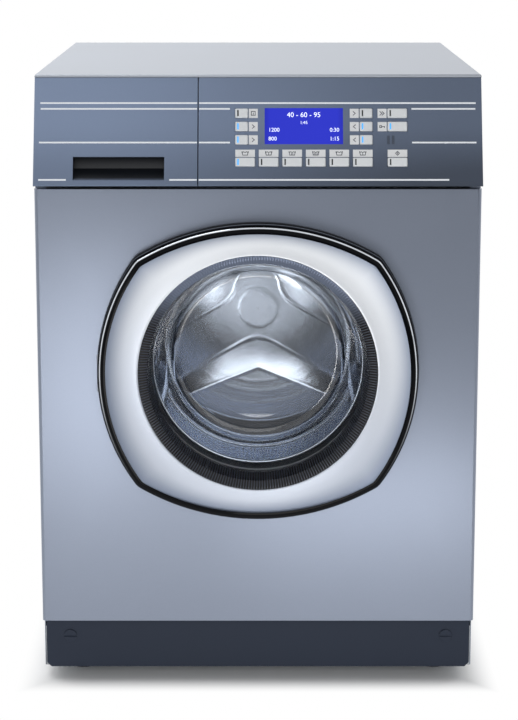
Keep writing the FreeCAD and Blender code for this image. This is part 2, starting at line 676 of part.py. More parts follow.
def front_panel():
    """Folded pan with the loading port, the latch slot and the hinge slot."""
    bottom = PLINTH_TOP + PANEL_GAP
    outer = block((-HALF, HALF), (0, PANEL_RETURN), (bottom, PANEL_TOP))
    corners = edges_at(outer, lambda p: near(p.y, FRONT) and near(abs(p.x), HALF))
    outer = outer.makeFillet(PANEL_EDGE_R, corners)
    inner_half = HALF - SHEET
    inside = block((-inner_half, inner_half), (SHEET, PANEL_RETURN + 1), (bottom + SHEET, PANEL_TOP - SHEET))
    corners = edges_at(inside, lambda p: near(p.y, FRONT + SHEET) and near(abs(p.x), inner_half))
    inside = inside.makeFillet(PANEL_EDGE_R - SHEET, corners)
    collar = pipe(PORT_R + SHEET, PORT_R, 0, AXIS_Z, (0, PORT_FLANGE))
    port = shaft(0, AXIS_Z, PORT_R, (-1, SHEET + 1))
    latch = block(latch_slot_x(), (-1, SHEET + 1), (AXIS_Z - LATCH_SLOT_H / 2, AXIS_Z + LATCH_SLOT_H / 2))
    leaf = HINGE_LEAF_T / 2 + PANEL_GAP
    hinge = block((HINGE_X - leaf, HINGE_X + leaf), (-1, SHEET + 1),
                  (AXIS_Z - HINGE_MIDDLE / 2 - PANEL_GAP, AXIS_Z + HINGE_MIDDLE / 2 + PANEL_GAP))
    return without(joined([outer.cut(inside), collar]), [port, latch, hinge])


def latch_slot_x():
    """The slot leaves more room on the side towards which the hook swings."""
    return (LATCH_X - PANEL_GAP * 4, LATCH_X - PANEL_GAP * 4 + LATCH_SLOT_W)


def top_cover():
    outer = block((-HALF, HALF), (COVER_FRONT_D, BODY_DEPTH), (SHELL_TOP + SEAT_GAP, HEIGHT))
    outer = outer.makeFillet(COVER_EDGE_R, edges_at(outer, lambda p: near(p.z, HEIGHT)))
    inside = block((COVER_WALL - HALF, HALF - COVER_WALL), (COVER_FRONT_D - 1, BODY_DEPTH - COVER_WALL),
                   (SHELL_TOP - 1, COVER_UNDER))
    over_fascia = block((-HALF - 1, HALF + 1), (COVER_FRONT_D - 1, FASCIA_BACK + PANEL_GAP),
                        (SHELL_TOP - 1, COVER_UNDER))
    return without(outer, [inside.fuse(over_fascia)])


def cross_rails():
    """Front and rear rails, the two spring rails between them, and the bar behind the front panel."""
    half = HALF - COVER_WALL - SEAT_GAP
    z = (SHELL_TOP, SHELL_TOP + RAIL_H)
    pieces = [channel((-half, half), (FRONT_RAIL_D, FRONT_RAIL_D + RAIL_W), z),
              channel((-half, half), (REAR_RAIL_D, REAR_RAIL_D + RAIL_W), z)]
    for x in (-HANGER_X, HANGER_X):
        rail = channel((x - RAIL_W / 2, x + RAIL_W / 2), (FRONT_RAIL_D + RAIL_W, REAR_RAIL_D), z)
        pieces.append(rail.cut(post(x, HANGER_D, SPRING_WIRE / 2 + SEAT_GAP, (z[0], z[1] + 1))))
    bar_d = PANEL_RETURN + PANEL_GAP + SHEET
    bar_half = HALF - SHEET - SEAT_GAP
    bar_z = (PANEL_TOP - CROSSBAR_H, PANEL_TOP)
    pieces.append(channel((-bar_half, bar_half), (bar_d, bar_d + CROSSBAR_W), bar_z))
    return Part.makeCompound(pieces)


def plinth_panel():
    """Kick plate with chamfered lower corners, held on two bosses."""
    half = PLINTH_W / 2
    d = (PLINTH_RECESS, PLINTH_RECESS + PLINTH_WALL)
    top = PLINTH_TOP - PANEL_GAP
    corners = [(-half, top), (-half, FLOOR_GAP + PLINTH_CHAMFER), (PLINTH_CHAMFER - half, FLOOR_GAP),
               (half - PLINTH_CHAMFER, FLOOR_GAP), (half, FLOOR_GAP + PLINTH_CHAMFER), (half, top)]
    outline = [Vector(x, FRONT + d[0], z) for x, z in corners]
    plate = Part.Face(Part.makePolygon(outline + outline[:1])).extrude(Vector(0, PLINTH_WALL, 0))
    pieces = [plate, block((-half, half), (d[1], BASE_FRONT_D), (top - PLINTH_WALL, top))]
    holes = []
    for x in (-CATCH_X, CATCH_X):
        pieces.append(shaft(x, CATCH_Z, CATCH_HEAD_R, (d[1], BASE_FRONT_D)))
        holes.append(shaft(x, CATCH_Z, CATCH_SHANK_R + SEAT_GAP, (d[0] - 1, BASE_FRONT_D + 1)))
    return without(joined(pieces), holes)


def plinth_catch(x):
    """Coin-slot quarter-turn catch with its cam behind the base frame's front wall."""
    face = PLINTH_RECESS
    cam_d = BASE_FRONT_D + BASE_WALL + SEAT_GAP
    head_d = face - CATCH_HEAD_T
    head = shaft(x, CATCH_Z, CATCH_HEAD_R, (head_d, face))
    head = head.makeChamfer(CATCH_HEAD_T / 4, edges_at(head, lambda p: near(p.y, FRONT + head_d)))
    slot = block((x - CATCH_HEAD_R, x + CATCH_HEAD_R), (head_d - 1, head_d + CATCH_SLOT_DEPTH),
                 (CATCH_Z - CATCH_SLOT_W / 2, CATCH_Z + CATCH_SLOT_W / 2))
    shank = shaft(x, CATCH_Z, CATCH_SHANK_R, (face - CATCH_HEAD_T / 2, cam_d + CATCH_CAM_T))
    cam = block((x - CATCH_CAM_LENGTH / 2, x + CATCH_CAM_LENGTH / 2), (cam_d, cam_d + CATCH_CAM_T),
                (CATCH_Z - CATCH_CAM_W / 2, CATCH_Z + CATCH_CAM_W / 2))
    return joined([head, shank, cam]).cut(slot)


# Fascia, keys and display
def fascia_body(x, cheek):
    """Leaning hollow moulding, open at the back. The cheek is the side that shows, -1 or 1."""
    front = [(-FASCIA_OVERHANG, FASCIA_BOTTOM), (FASCIA_TOP_D, FASCIA_TOP)]
    outer = across(front + [(FASCIA_BACK, FASCIA_TOP), (FASCIA_BACK, FASCIA_BOTTOM)], x)
    show_x = x[1] if cheek > 0 else x[0]
    middle_z = (FASCIA_BOTTOM + FASCIA_TOP) / 2
    middle_d = (front[0][0] + front[1][0]) / 2
    outer = outer.makeFillet(FASCIA_EDGE_R, edges_at(
        outer, lambda p: (near(p.x, show_x) and near(p.z, middle_z) and near(p.y, FRONT + middle_d))
        or (near(p.z, FASCIA_BOTTOM) and near(p.y, FRONT - FASCIA_OVERHANG))))
    wall = FASCIA_WALL / math.cos(LEAN)
    low = FASCIA_BOTTOM + FASCIA_RIB
    high = FASCIA_TOP - FASCIA_RIB
    low_d = FASCIA_RIB * math.tan(LEAN) - FASCIA_OVERHANG + wall
    high_d = FASCIA_TOP_D - FASCIA_RIB * math.tan(LEAN) + wall
    inner = across([(low_d, low), (high_d, high), (FASCIA_BACK + 1, high), (FASCIA_BACK + 1, low)],
                   (x[0] + FASCIA_RIB, x[1] - FASCIA_RIB))
    return outer.cut(inner)


def key_table():
    """Name, key rectangle and label rectangle of every key, as x and s ranges."""
    table = {}
    for row, place in enumerate(("upper", "middle", "lower")):
        s0 = ROW_S + ROW_PITCH * (2 - row)
        s = (s0, s0 + ROW_H)
        key_x = (LEFT_COLUMN_X, LEFT_COLUMN_X + SMALL_KEY_W)
        label_x = (key_x[1] + LABEL_GAP, key_x[1] + LABEL_GAP + SMALL_LABEL_W)
        table["key_left_" + place] = (key_x, s, label_x, s)
        label_x = (RIGHT_COLUMN_X, RIGHT_COLUMN_X + SMALL_LABEL_W)
        key_x = (label_x[1] + LABEL_GAP, label_x[1] + LABEL_GAP + SMALL_KEY_W)
        table["key_right_" + place] = (key_x, s, label_x, s)
        if place != "lower":
            label_x = (WIDE_COLUMN_X, WIDE_COLUMN_X + SMALL_LABEL_W)
            key_x = (label_x[1] + LABEL_GAP, label_x[1] + LABEL_GAP + WIDE_KEY_W)
            table["key_wide_" + place] = (key_x, s, label_x, s)
    s = (PROGRAM_S, PROGRAM_S + PROGRAM_H)
    label_s = (s[1] + LABEL_GAP, s[1] + LABEL_GAP + PROGRAM_LABEL_H)
    for number in range(PROGRAM_KEYS):
        x = (PROGRAM_X + PROGRAM_PITCH * number, PROGRAM_X + PROGRAM_PITCH * number + WIDE_KEY_W)
        table["key_program_%d" % (number + 1)] = (x, s, x, label_s)
    x = (START_X, START_X + WIDE_KEY_W)
    table["key_start"] = (x, s, x, label_s)
    return table


def grown(span, margin):
    return (span[0] - margin, span[1] + margin)


def middle(span):
    return (span[0] + span[1]) / 2


def optic_spans():
    return [(OPTIC_X + OPTIC_PITCH * i, OPTIC_X + OPTIC_PITCH * i + OPTIC_W) for i in range(2)]


def control_fascia(keys):
    """Right-hand moulding with windows for the keys and display, and posts for the board."""
    body = fascia_body((SEAM_X + SEAM_GAP / 2, HALF), 1)
    through = (-FASCIA_WALL - 1, 1)
    cuts = []
    for key_x, key_s, label_x, label_s in keys.values():
        cuts.append(on_slope(grown(key_x, KEY_GAP), grown(key_s, KEY_GAP), through))
        cuts.append(on_slope(label_x, label_s, (-INLAY_DEPTH, 1)))
    display_x = (DISPLAY_X, DISPLAY_X + DISPLAY_W)
    display_s = (DISPLAY_S, DISPLAY_S + DISPLAY_H)
    cuts.append(on_slope(display_x, display_s, (-WINDOW_T, 1)))
    cuts.append(on_slope(grown(display_x, -WINDOW_LEDGE), grown(display_s, -WINDOW_LEDGE), through))
    for span in optic_spans():
        cuts.append(on_slope(span, (OPTIC_S, OPTIC_S + OPTIC_H), (-INLAY_DEPTH, 1)))
    posts = []
    for x in grown(BOARD_X, -BOARD_POST_INSET):
        for s in grown(BOARD_S, -BOARD_POST_INSET):
            bar = Part.makeCylinder(BOARD_POST_R, BOARD_DROP - FASCIA_WALL / 2, Vector(x, s, -BOARD_DROP))
            bar.Placement = SLOPE.multiply(bar.Placement)
            posts.append(bar)
    return joined([without(body, cuts)] + posts)


def panel_windows():
    """Display lens and the two dark optical windows."""
    display_s = (DISPLAY_S, DISPLAY_S + DISPLAY_H)
    pieces = [on_slope((DISPLAY_X, DISPLAY_X + DISPLAY_W), display_s, (-WINDOW_T, 0))]
    for span in optic_spans():
        pieces.append(on_slope(span, (OPTIC_S, OPTIC_S + OPTIC_H), (-INLAY_DEPTH, INLAY_T - INLAY_DEPTH)))
    return Part.makeCompound(pieces)


def key_label_plates(keys):
    return Part.makeCompound([on_slope(label_x, label_s, (-INLAY_DEPTH, INLAY_T - INLAY_DEPTH))
                              for _, _, label_x, label_s in keys.values()])


def display_board(keys):
    """Board with the display module and one switch under each key."""
    pieces = [on_slope(BOARD_X, BOARD_S, (-BOARD_DROP - BOARD_T, -BOARD_DROP)),
              on_slope(grown((DISPLAY_X, DISPLAY_X + DISPLAY_W), MODULE_MARGIN),
                       grown((DISPLAY_S, DISPLAY_S + DISPLAY_H), MODULE_MARGIN),
                       (-BOARD_DROP, -FASCIA_WALL - SEAT_GAP))]
    for key_x, key_s, _, _ in keys.values():
        pieces.append(on_slope(grown((middle(key_x), middle(key_x)), SWITCH_W / 2),
                               grown((middle(key_s), middle(key_s)), SWITCH_W / 2),
                               (-BOARD_DROP, SWITCH_H - BOARD_DROP)))
    return Part.makeCompound(pieces)


def key(key_x, key_s):
    """Key cap with rounded corners, an indicator slot, a retaining lip and a stem."""
    lip_n = -FASCIA_WALL - SEAT_GAP
    corners = [Vector(key_x[i], key_s[j], lip_n) for i, j in ((0, 0), (1, 0), (1, 1), (0, 1))]
    cap = Part.Face(Part.makePolygon(corners + corners[:1])).extrude(Vector(0, 0, KEY_PROUD - lip_n))
    cap = cap.makeFillet(KEY_CORNER_R, edges_at(cap, lambda p: near(p.z, (KEY_PROUD + lip_n) / 2)))
    cap = cap.makeChamfer(KEY_BEVEL, edges_at(cap, lambda p: near(p.z, KEY_PROUD)))
    cap.Placement = SLOPE
    lip = on_slope(grown(key_x, KEY_LIP), grown(key_s, KEY_LIP), (lip_n - KEY_LIP_T, lip_n))
    stem = on_slope(grown((middle(key_x), middle(key_x)), KEY_STEM_W / 2),
                    grown((middle(key_s), middle(key_s)), KEY_STEM_H / 2),
                    (lip_n - KEY_LIP_T - KEY_STEM_H, lip_n))
    led = on_slope((key_x[0] + LED_INSET, key_x[0] + LED_INSET + LED_W),
                   grown((middle(key_s), middle(key_s)), LED_H / 2), (KEY_PROUD - LED_DEPTH, KEY_PROUD + 1))
    return joined([cap, lip, stem]).cut(led)


# Detergent drawer
def drawer_front():
    """Left-hand moulding with the grip recess and the wall that carries the tray."""
    x = (-HALF, SEAM_X - SEAM_GAP / 2)
    body = fascia_body(x, -1)
    recess = [(GRIP_S[0], 1), (GRIP_S[1], 1), (GRIP_S[1], -FASCIA_WALL),
              (GRIP_S[1] + GRIP_HOOK, -FASCIA_WALL - GRIP_HOOK), (GRIP_S[1] + GRIP_HOOK, -GRIP_DEPTH),
              (GRIP_S[0] + GRIP_DEPTH, -GRIP_DEPTH), (GRIP_S[0], -FASCIA_WALL / 2)]
    corners = [Vector(GRIP_X[0], s, n) for s, n in recess]
    outline = Part.makePolygon(corners + corners[:1])
    hollow = Part.Face(outline).extrude(Vector(GRIP_X[1] - GRIP_X[0], 0, 0))
    walls = Part.Face(outline.makeOffset2D(GRIP_WALL, 2))
    walls.translate(Vector(-GRIP_WALL, 0, 0))
    pocket = walls.extrude(Vector(GRIP_X[1] - GRIP_X[0] + 2 * GRIP_WALL, 0, 0))
    hollow.Placement = SLOPE
    pocket.Placement = SLOPE.multiply(pocket.Placement)
    behind_face = on_slope(grown(GRIP_X, 2 * GRIP_WALL), grown(GRIP_S, GRIP_DEPTH),
                           (-2 * GRIP_DEPTH, -FASCIA_WALL / 2))
    backing = block((x[0] + FASCIA_RIB, x[1] - FASCIA_RIB), (BACKING_D, BACKING_D + FASCIA_RIB), BACKING_Z)
    return joined([body, pocket.common(behind_face), backing]).cut(hollow)


def drawer_tray():
    """Open tray with main wash, prewash and softener compartments."""
    z = (TRAY_Z, TRAY_Z + TRAY_H)
    tray = block(TRAY_X, TRAY_D, z)
    walls_x = [TRAY_X[0], TRAY_X[0] + MAIN_W, SOFTENER_X[0], TRAY_X[1]]
    hollows = []
    for left, right in zip(walls_x[:-1], walls_x[1:]):
        first = TRAY_WALL if left == TRAY_X[0] else TRAY_WALL / 2
        last = TRAY_WALL if right == TRAY_X[1] else TRAY_WALL / 2
        hollow_z = (z[0] + TRAY_WALL, z[1] + 1)
        hollows.append(block((left + first, right - last), grown(TRAY_D, -TRAY_WALL), hollow_z))
    return without(tray, hollows)


def siphon_insert():
    """Bridge over the rear of the softener compartment, with its siphon tube."""
    floor = TRAY_Z + TRAY_WALL + SEAT_GAP
    x = (SOFTENER_X[0] + TRAY_WALL / 2 + SEAT_GAP, SOFTENER_X[1] - TRAY_WALL - SEAT_GAP)
    body = block(x, SIPHON_D, (floor, floor + SIPHON_H))
    under = block((x[0] + TRAY_WALL, x[1] - TRAY_WALL), (SIPHON_D[0] - 1, SIPHON_D[1] + 1),
                  (floor - 1, floor + SIPHON_H - TRAY_WALL))
    tube_z = (floor + TRAY_WALL, floor + SIPHON_H + SIPHON_TUBE_R)
    tube = post(middle(x), middle(SIPHON_D), SIPHON_TUBE_R, tube_z)
    bore = post(middle(x), middle(SIPHON_D), SIPHON_TUBE_R - TRAY_WALL, (floor, floor + SIPHON_H))
    return joined([body.cut(under), tube]).cut(bore)


def drawer_housing():
    """Dispenser box that the drawer slides into, with runners, a spout and an inlet stub."""
    z = (HOUSING_BOTTOM, HOUSING_TOP)
    wall = HOUSING_WALL
    shell = block(HOUSING_X, HOUSING_D, z)
    hollow = block(grown(HOUSING_X, -wall), (HOUSING_D[0] - 1, HOUSING_D[1] - wall), grown(z, -wall))
    pieces = [shell.cut(hollow)]
    runner_z = (z[0] + wall / 2, z[0] + wall + RUNNER_H)
    for x in (TRAY_X[0] + RUNNER_W, TRAY_X[1] - 2 * RUNNER_W):
        pieces.append(block((x, x + RUNNER_W), (HOUSING_D[0], HOUSING_D[1] - wall / 2), runner_z))
    pieces.append(post(SPOUT_X, SPOUT_D, SPOUT_R, (SPOUT_BOTTOM, z[0] + wall / 2)))
    pieces.append(shaft(INLET_X, INLET_Z, INLET_STUB_R, (HOUSING_D[1] - wall / 2, HOUSING_D[1] + STUB)))
    bores = [post(SPOUT_X, SPOUT_D, SPOUT_R - wall, (SPOUT_BOTTOM - 1, z[0] + wall + 1)),
             shaft(INLET_X, INLET_Z, INLET_STUB_R - wall, (HOUSING_D[1] - wall - 1, HOUSING_D[1] + STUB + 1))]
    return without(joined(pieces), bores)


# Door
def door_outline(inset):
    """The door's outline, drawn in evenly, as a wire in the front panel's plane."""
    side_c = DOOR_HALF_W - DOOR_SIDE_R
    top_c = DOOR_HALF_H - DOOR_TOP_R
    reach_side = DOOR_SIDE_R - DOOR_CORNER_R
    reach_top = DOOR_TOP_R - DOOR_CORNER_R
    span = math.hypot(side_c, top_c)
    along = (reach_side ** 2 - reach_top ** 2 + span ** 2) / (2 * span)
    off = math.sqrt(reach_side ** 2 - along ** 2)
    ux = -side_c / span
    uz = top_c / span
    corner_x = side_c + along * ux - off * uz
    corner_z = along * uz + off * ux
    side_angle = math.atan2(corner_z, corner_x - side_c)
    top_angle = math.atan2(corner_z - top_c, corner_x)
    radius = DOOR_CORNER_R - inset

    def corner_point(angle, sx, sz):
        return Vector(sx * (corner_x + radius * math.cos(angle)), FRONT,
                      AXIS_Z + sz * (corner_z + radius * math.sin(angle)))

    edges = []
    half_w = DOOR_HALF_W - inset
    half_h = DOOR_HALF_H - inset
    for sx, sz in ((1, 1), (-1, 1), (-1, -1), (1, -1)):
        half_turn = (side_angle + top_angle) / 2
        edges.append(Part.Arc(corner_point(side_angle, sx, sz), corner_point(half_turn, sx, sz),
                              corner_point(top_angle, sx, sz)).toShape())
    for sx in (1, -1):
        edges.append(Part.Arc(corner_point(side_angle, sx, -1), Vector(sx * half_w, FRONT, AXIS_Z),
                              corner_point(side_angle, sx, 1)).toShape())
    for sz in (1, -1):
        edges.append(Part.Arc(corner_point(top_angle, -1, sz), Vector(0, FRONT, AXIS_Z + sz * half_h),
                              corner_point(top_angle, 1, sz)).toShape())
    return Part.Wire(Part.__sortEdges__(edges))


def door_slab(inset, d):
    slab = Part.Face(door_outline(inset)).extrude(Vector(0, d[1] - d[0], 0))
    slab.translate(Vector(0, d[0], 0))
    return slab


def hinge_span(length):
    return (AXIS_Z - length / 2, AXIS_Z + length / 2)


def door_back_frame():
    """Black frame that clamps the glass from behind, notched for the hinge arm."""
    d = (DOOR_MID_D, DOOR_BACK_D)
    frame = door_slab(0, d)
    frame = frame.makeFillet(BACK_FRAME_EDGE_R, edges_at(frame, lambda p: near(p.y, FRONT + d[0])))
    bore = shaft(0, AXIS_Z, BOWL_R + GLASS_T, (d[0] - 1, d[1] + 1))
    notch_x = (-DOOR_HALF_W - 1, HINGE_X + HINGE_KNUCKLE_R + HINGE_ARM_W + PANEL_GAP)
    notch = block(notch_x, grown(d, 1), grown(hinge_span(HINGE_LENGTH), PANEL_GAP))
    return without(frame, [bore, notch])


def door_rim():
    """Glossy ring with a rounded flank, cut away behind for the hinge."""
    d = (-DOOR_PROUD, DOOR_MID_D)
    ring = door_slab(RIM_INSET, d)
    ring = ring.makeFillet(RIM_R, edges_at(ring, lambda p: near(p.y, FRONT + d[0])))
    notch = block((-DOOR_HALF_W - 1, -DOOR_HALF_W + RIM_INSET + 2 * RIM_W), (NOTCH_FRONT, d[1] + 1),
                  grown(hinge_span(HINGE_LENGTH), PANEL_GAP))
    return without(ring, [door_slab(RIM_INSET + RIM_W, (d[0] - 1, d[1] + 1)), notch])


def door_bezel():
    """Satin face, dished towards the round opening, with a seat for the glass flange."""
    face_d = FACE_DROP - DOOR_PROUD
    slab = door_slab(RIM_INSET + RIM_W + SEAT_GAP, (face_d, DOOR_MID_D))
    inner = Vector(FACE_R, FRONT + face_d + FACE_RISE, AXIS_Z)
    bow = Vector((FACE_R + DISH_R) / 2, FRONT + face_d + FACE_RISE * 0.72, AXIS_Z)
    outer = Vector(DISH_R, FRONT + face_d, AXIS_Z)
    rim = Vector(DISH_R, FRONT + face_d - 1, AXIS_Z)
    start = Vector(0, FRONT + face_d - 1, AXIS_Z)
    centre = Vector(0, FRONT + face_d + FACE_RISE, AXIS_Z)
    profile = [Part.makeLine(centre, inner), Part.Arc(inner, bow, outer).toShape(), Part.makeLine(outer, rim),
               Part.makeLine(rim, start), Part.makeLine(start, centre)]
    dish = Part.Face(Part.Wire(profile)).revolve(Vector(0, 0, AXIS_Z), Vector(0, 1, 0), 360)
    opening = shaft(0, AXIS_Z, FACE_R, (face_d - 1, DOOR_MID_D + 1))
    seat = shaft(0, AXIS_Z, GLASS_FLANGE_R + PANEL_GAP, (DOOR_MID_D - GLASS_FLANGE_T, DOOR_MID_D + 1))
    return without(slab, [dish.fuse(opening).fuse(seat)])


def bowl_radius(d):
    """Outside radius of the glass bowl's cone at a depth."""
    share = (d - DOOR_MID_D) / (BOWL_DEPTH - BOWL_ROUND - DOOR_MID_D)
    return BOWL_R + (BOWL_END_R - BOWL_R) * share


def door_glass():
    """Flanged bowl that reaches into the drum mouth."""
    flange = (DOOR_MID_D - GLASS_FLANGE_T, DOOR_MID_D)
    shoulder = BOWL_DEPTH - BOWL_ROUND
    end_r = BOWL_END_R - BOWL_ROUND
    bend = math.sqrt(0.5) * BOWL_ROUND
    inner_bend = math.sqrt(0.5) * (BOWL_ROUND - GLASS_T)

    def at(r, d):
        return Vector(r, FRONT + d, AXIS_Z)

    profile = [Part.makeLine(at(BOWL_R - GLASS_T, flange[0]), at(GLASS_FLANGE_R, flange[0])),
               Part.makeLine(at(GLASS_FLANGE_R, flange[0]), at(GLASS_FLANGE_R, flange[1])),
               Part.makeLine(at(GLASS_FLANGE_R, flange[1]), at(BOWL_R, flange[1])),
               Part.makeLine(at(BOWL_R, flange[1]), at(BOWL_END_R, shoulder)),
               Part.Arc(at(BOWL_END_R, shoulder), at(end_r + bend, shoulder + bend),
                        at(end_r, BOWL_DEPTH)).toShape(),
               Part.makeLine(at(end_r, BOWL_DEPTH), at(0, BOWL_DEPTH)),
               Part.makeLine(at(0, BOWL_DEPTH), at(0, BOWL_DEPTH - GLASS_T)),
               Part.makeLine(at(0, BOWL_DEPTH - GLASS_T), at(end_r, BOWL_DEPTH - GLASS_T)),
               Part.Arc(at(end_r, BOWL_DEPTH - GLASS_T), at(end_r + inner_bend, shoulder + inner_bend),
                        at(BOWL_END_R - GLASS_T, shoulder)).toShape(),
               Part.makeLine(at(BOWL_END_R - GLASS_T, shoulder), at(BOWL_R - GLASS_T, flange[0]))]
    return Part.Face(Part.Wire(profile)).revolve(Vector(0, 0, AXIS_Z), Vector(0, 1, 0), 360)


def door_hinge_bracket():
    """Fixed leaf that comes through the front panel and ends in the middle knuckle, with the hinge pin."""
    z = hinge_span(HINGE_MIDDLE)
    foot_d = (SHEET, SHEET + HINGE_FOOT_T)
    leaf = block(grown((HINGE_X, HINGE_X), HINGE_LEAF_T / 2), (HINGE_D, foot_d[1]), z)
    foot = block(grown((HINGE_X, HINGE_X), HINGE_FOOT_W / 2), foot_d, hinge_span(HINGE_LENGTH))
    knuckle = post(HINGE_X, HINGE_D, HINGE_KNUCKLE_R, z)
    bracket = joined([leaf, foot, knuckle]).cut(post(HINGE_X, HINGE_D, HINGE_PIN_R + RUN_GAP, grown(z, 1)))
    return Part.makeCompound([bracket, post(HINGE_X, HINGE_D, HINGE_PIN_R, hinge_span(HINGE_LENGTH))])


def door_hinge_arm():
    """Moving leaf with the upper and lower knuckles, screwed behind the bezel."""
    z = hinge_span(HINGE_LENGTH)
    gap = hinge_span(HINGE_MIDDLE + 2 * SEAT_GAP)
    plate_d = (DOOR_MID_D, DOOR_MID_D + HINGE_ARM_T)
    left = HINGE_X + HINGE_KNUCKLE_R
    pieces = [block((left, left + HINGE_ARM_W), plate_d, z)]
    for span in ((z[0], gap[0]), (gap[1], z[1])):
        pieces.append(post(HINGE_X, HINGE_D, HINGE_KNUCKLE_R, span))
        pieces.append(block((HINGE_X, left + HINGE_KNUCKLE_R), (HINGE_D, plate_d[1]), span))
    return joined(pieces).cut(post(HINGE_X, HINGE_D, HINGE_PIN_R + RUN_GAP, grown(z, 1)))


def latch_hook():
    """Hook on the back frame that enters the door lock."""
    x = (LATCH_X, LATCH_X + LATCH_T)
    z = hinge_span(LATCH_H)
    foot = block((LATCH_X - LATCH_FOOT_W, LATCH_X + LATCH_T), (DOOR_BACK_D, DOOR_BACK_D + DOOR_GAP / 2), z)
    blade = block(x, (DOOR_BACK_D, LATCH_REACH), z)
    eye = block(grown(x, 1), (LATCH_REACH * 0.45, LATCH_REACH * 0.75), grown(z, -LATCH_H / 4))
    return joined([foot, blade]).cut(eye)


def door_lock():
    """Lock housing behind the front panel, open towards the hook."""
    slot_x = latch_slot_x()
    x = (slot_x[0] - LOCK_WALL, slot_x[0] - LOCK_WALL + LOCK_W)
    d = (SHEET, SHEET + LOCK_DEPTH)
    hollow = block(slot_x, (d[0] - 1, d[1] - LOCK_WALL), hinge_span(LATCH_SLOT_H))
    return block(x, d, hinge_span(LOCK_H)).cut(hollow)


# Tub and drum
def tub_wall_z(x, side):
    """Height of the tub's outer wall at an x, above (1) or below (-1) the axis."""
    return AXIS_Z + side * math.sqrt(TUB_R ** 2 - x ** 2)


def tub_front():
    inner = TUB_R - TUB_WALL
    neck_in = NECK_R - NECK_WALL
    rim_d = TUB_SPLIT_D - TUB_RIM_T
    shell = turned([(neck_in, NECK_D), (NECK_R, NECK_D), (NECK_R, TUB_FRONT_D), (TUB_R, TUB_FRONT_D),
                    (TUB_R, rim_d), (TUB_RIM_R, rim_d), (TUB_RIM_R, TUB_SPLIT_D), (inner, TUB_SPLIT_D),
                    (inner, TUB_FRONT_D + TUB_WALL), (neck_in, TUB_FRONT_D + TUB_WALL)])
    drum_space = shaft(0, AXIS_Z, inner, (TUB_FRONT_D + TUB_WALL, TUB_SPLIT_D))
    lugs = []
    for x in (-DAMPER_X, DAMPER_X):
        lugs.append(block(grown((x, x), DAMPER_LUG_W / 2), grown((DAMPER_D, DAMPER_D), DAMPER_LUG_W / 2),
                          (ROD_TOP, tub_wall_z(abs(x) - DAMPER_LUG_W / 2, -1) + TUB_WALL)))
    wall_z = tub_wall_z(SPOUT_X, 1)
    spigot = post(SPOUT_X, SPOUT_D, SPOUT_R, (wall_z - 2 * SPOUT_R, TUB_SPIGOT_TOP))
    bore = post(SPOUT_X, SPOUT_D, SPOUT_R - HOSE_WALL, (wall_z - 3 * SPOUT_R, TUB_SPIGOT_TOP + 1))
    outside = joined(lugs + [spigot]).cut(drum_space)
    return joined([shell, outside]).cut(bore)


def tub_rear():
    inner = TUB_R - TUB_WALL
    back_in = TUB_BACK_D - TUB_BACK_T
    seat = BEARING_R + RUN_GAP
    rim_d = TUB_SPLIT_D + TUB_RIM_T
    shell = turned([(TUB_RIM_R, TUB_SPLIT_D), (TUB_RIM_R, rim_d), (TUB_R, rim_d), (TUB_R, TUB_BACK_D),
                    (HUB_R, TUB_BACK_D), (HUB_R, HUB_D[1]), (seat, HUB_D[1]), (seat, HUB_D[0]),
                    (HUB_R, HUB_D[0]), (HUB_R, back_in), (inner, back_in), (inner, TUB_SPLIT_D)])
    extras = []
    for number in range(TUB_RIBS):
        rib = block((HUB_R - TUB_WALL, inner), (TUB_BACK_D - TUB_BACK_T / 2, TUB_BACK_D + TUB_RIB_H),
                    grown((AXIS_Z, AXIS_Z), TUB_RIB_W / 2))
        rib.rotate(Vector(0, 0, AXIS_Z), Vector(0, 1, 0), 360 / TUB_RIBS * (number + 0.5))
        extras.append(rib)
    drum_space = shaft(0, AXIS_Z, inner, (TUB_SPLIT_D, back_in))
    outside = [block((-SUMP_X, SUMP_X), SUMP_D, (SUMP_BOTTOM, tub_wall_z(SUMP_X, -1) + TUB_WALL)),
               post(SUMP_OUT_X, SUMP_OUT_D, SUMP_OUT_R, (SUMP_OUT_BOTTOM, SUMP_BOTTOM + SUMP_WALL / 2)),
               block(grown((MOTOR_X, MOTOR_X), MOTOR_PAD_W / 2), MOTOR_PAD_D,
                     (MOTOR_PAD_Z, tub_wall_z(abs(MOTOR_X) - MOTOR_PAD_W / 2, -1) + TUB_WALL))]
    for x in (-HANGER_X, HANGER_X):
        lug = block(grown((x, x), LUG_W / 2), grown((HANGER_D, HANGER_D), LUG_T / 2),
                    (tub_wall_z(abs(x) + LUG_W / 2, 1) - TUB_WALL, LUG_TOP))
        outside.append(lug)
    outside = joined(outside).cut(drum_space)
    sump = block(grown((-SUMP_X, SUMP_X), -SUMP_WALL), grown(SUMP_D, -SUMP_WALL),
                 (SUMP_BOTTOM + SUMP_WALL, AXIS_Z - inner + 2 * SUMP_WALL))
    heater_slot = block(grown((0, 0), HEATER_PLATE[0] / 2), (SUMP_D[1] - SUMP_WALL - 1, SUMP_D[1] + 1),
                        grown((HEATER_Z, HEATER_Z), HEATER_R + 1))
    outlet_z = (SUMP_OUT_BOTTOM - 1, SUMP_BOTTOM + SUMP_WALL + 1)
    outlet = post(SUMP_OUT_X, SUMP_OUT_D, SUMP_OUT_R - HOSE_WALL, outlet_z)
    return without(joined([shell] + extras + [outside]), [sump, heater_slot, outlet])


def drum_bearings():
    places = [(HUB_D[0] + BEARING_END, HUB_D[0] + BEARING_END + BEARING_W),
              (HUB_D[1] - BEARING_END - BEARING_W, HUB_D[1] - BEARING_END)]
    return Part.makeCompound([pipe(BEARING_R, SHAFT_R + RUN_GAP, 0, AXIS_Z, d) for d in places])


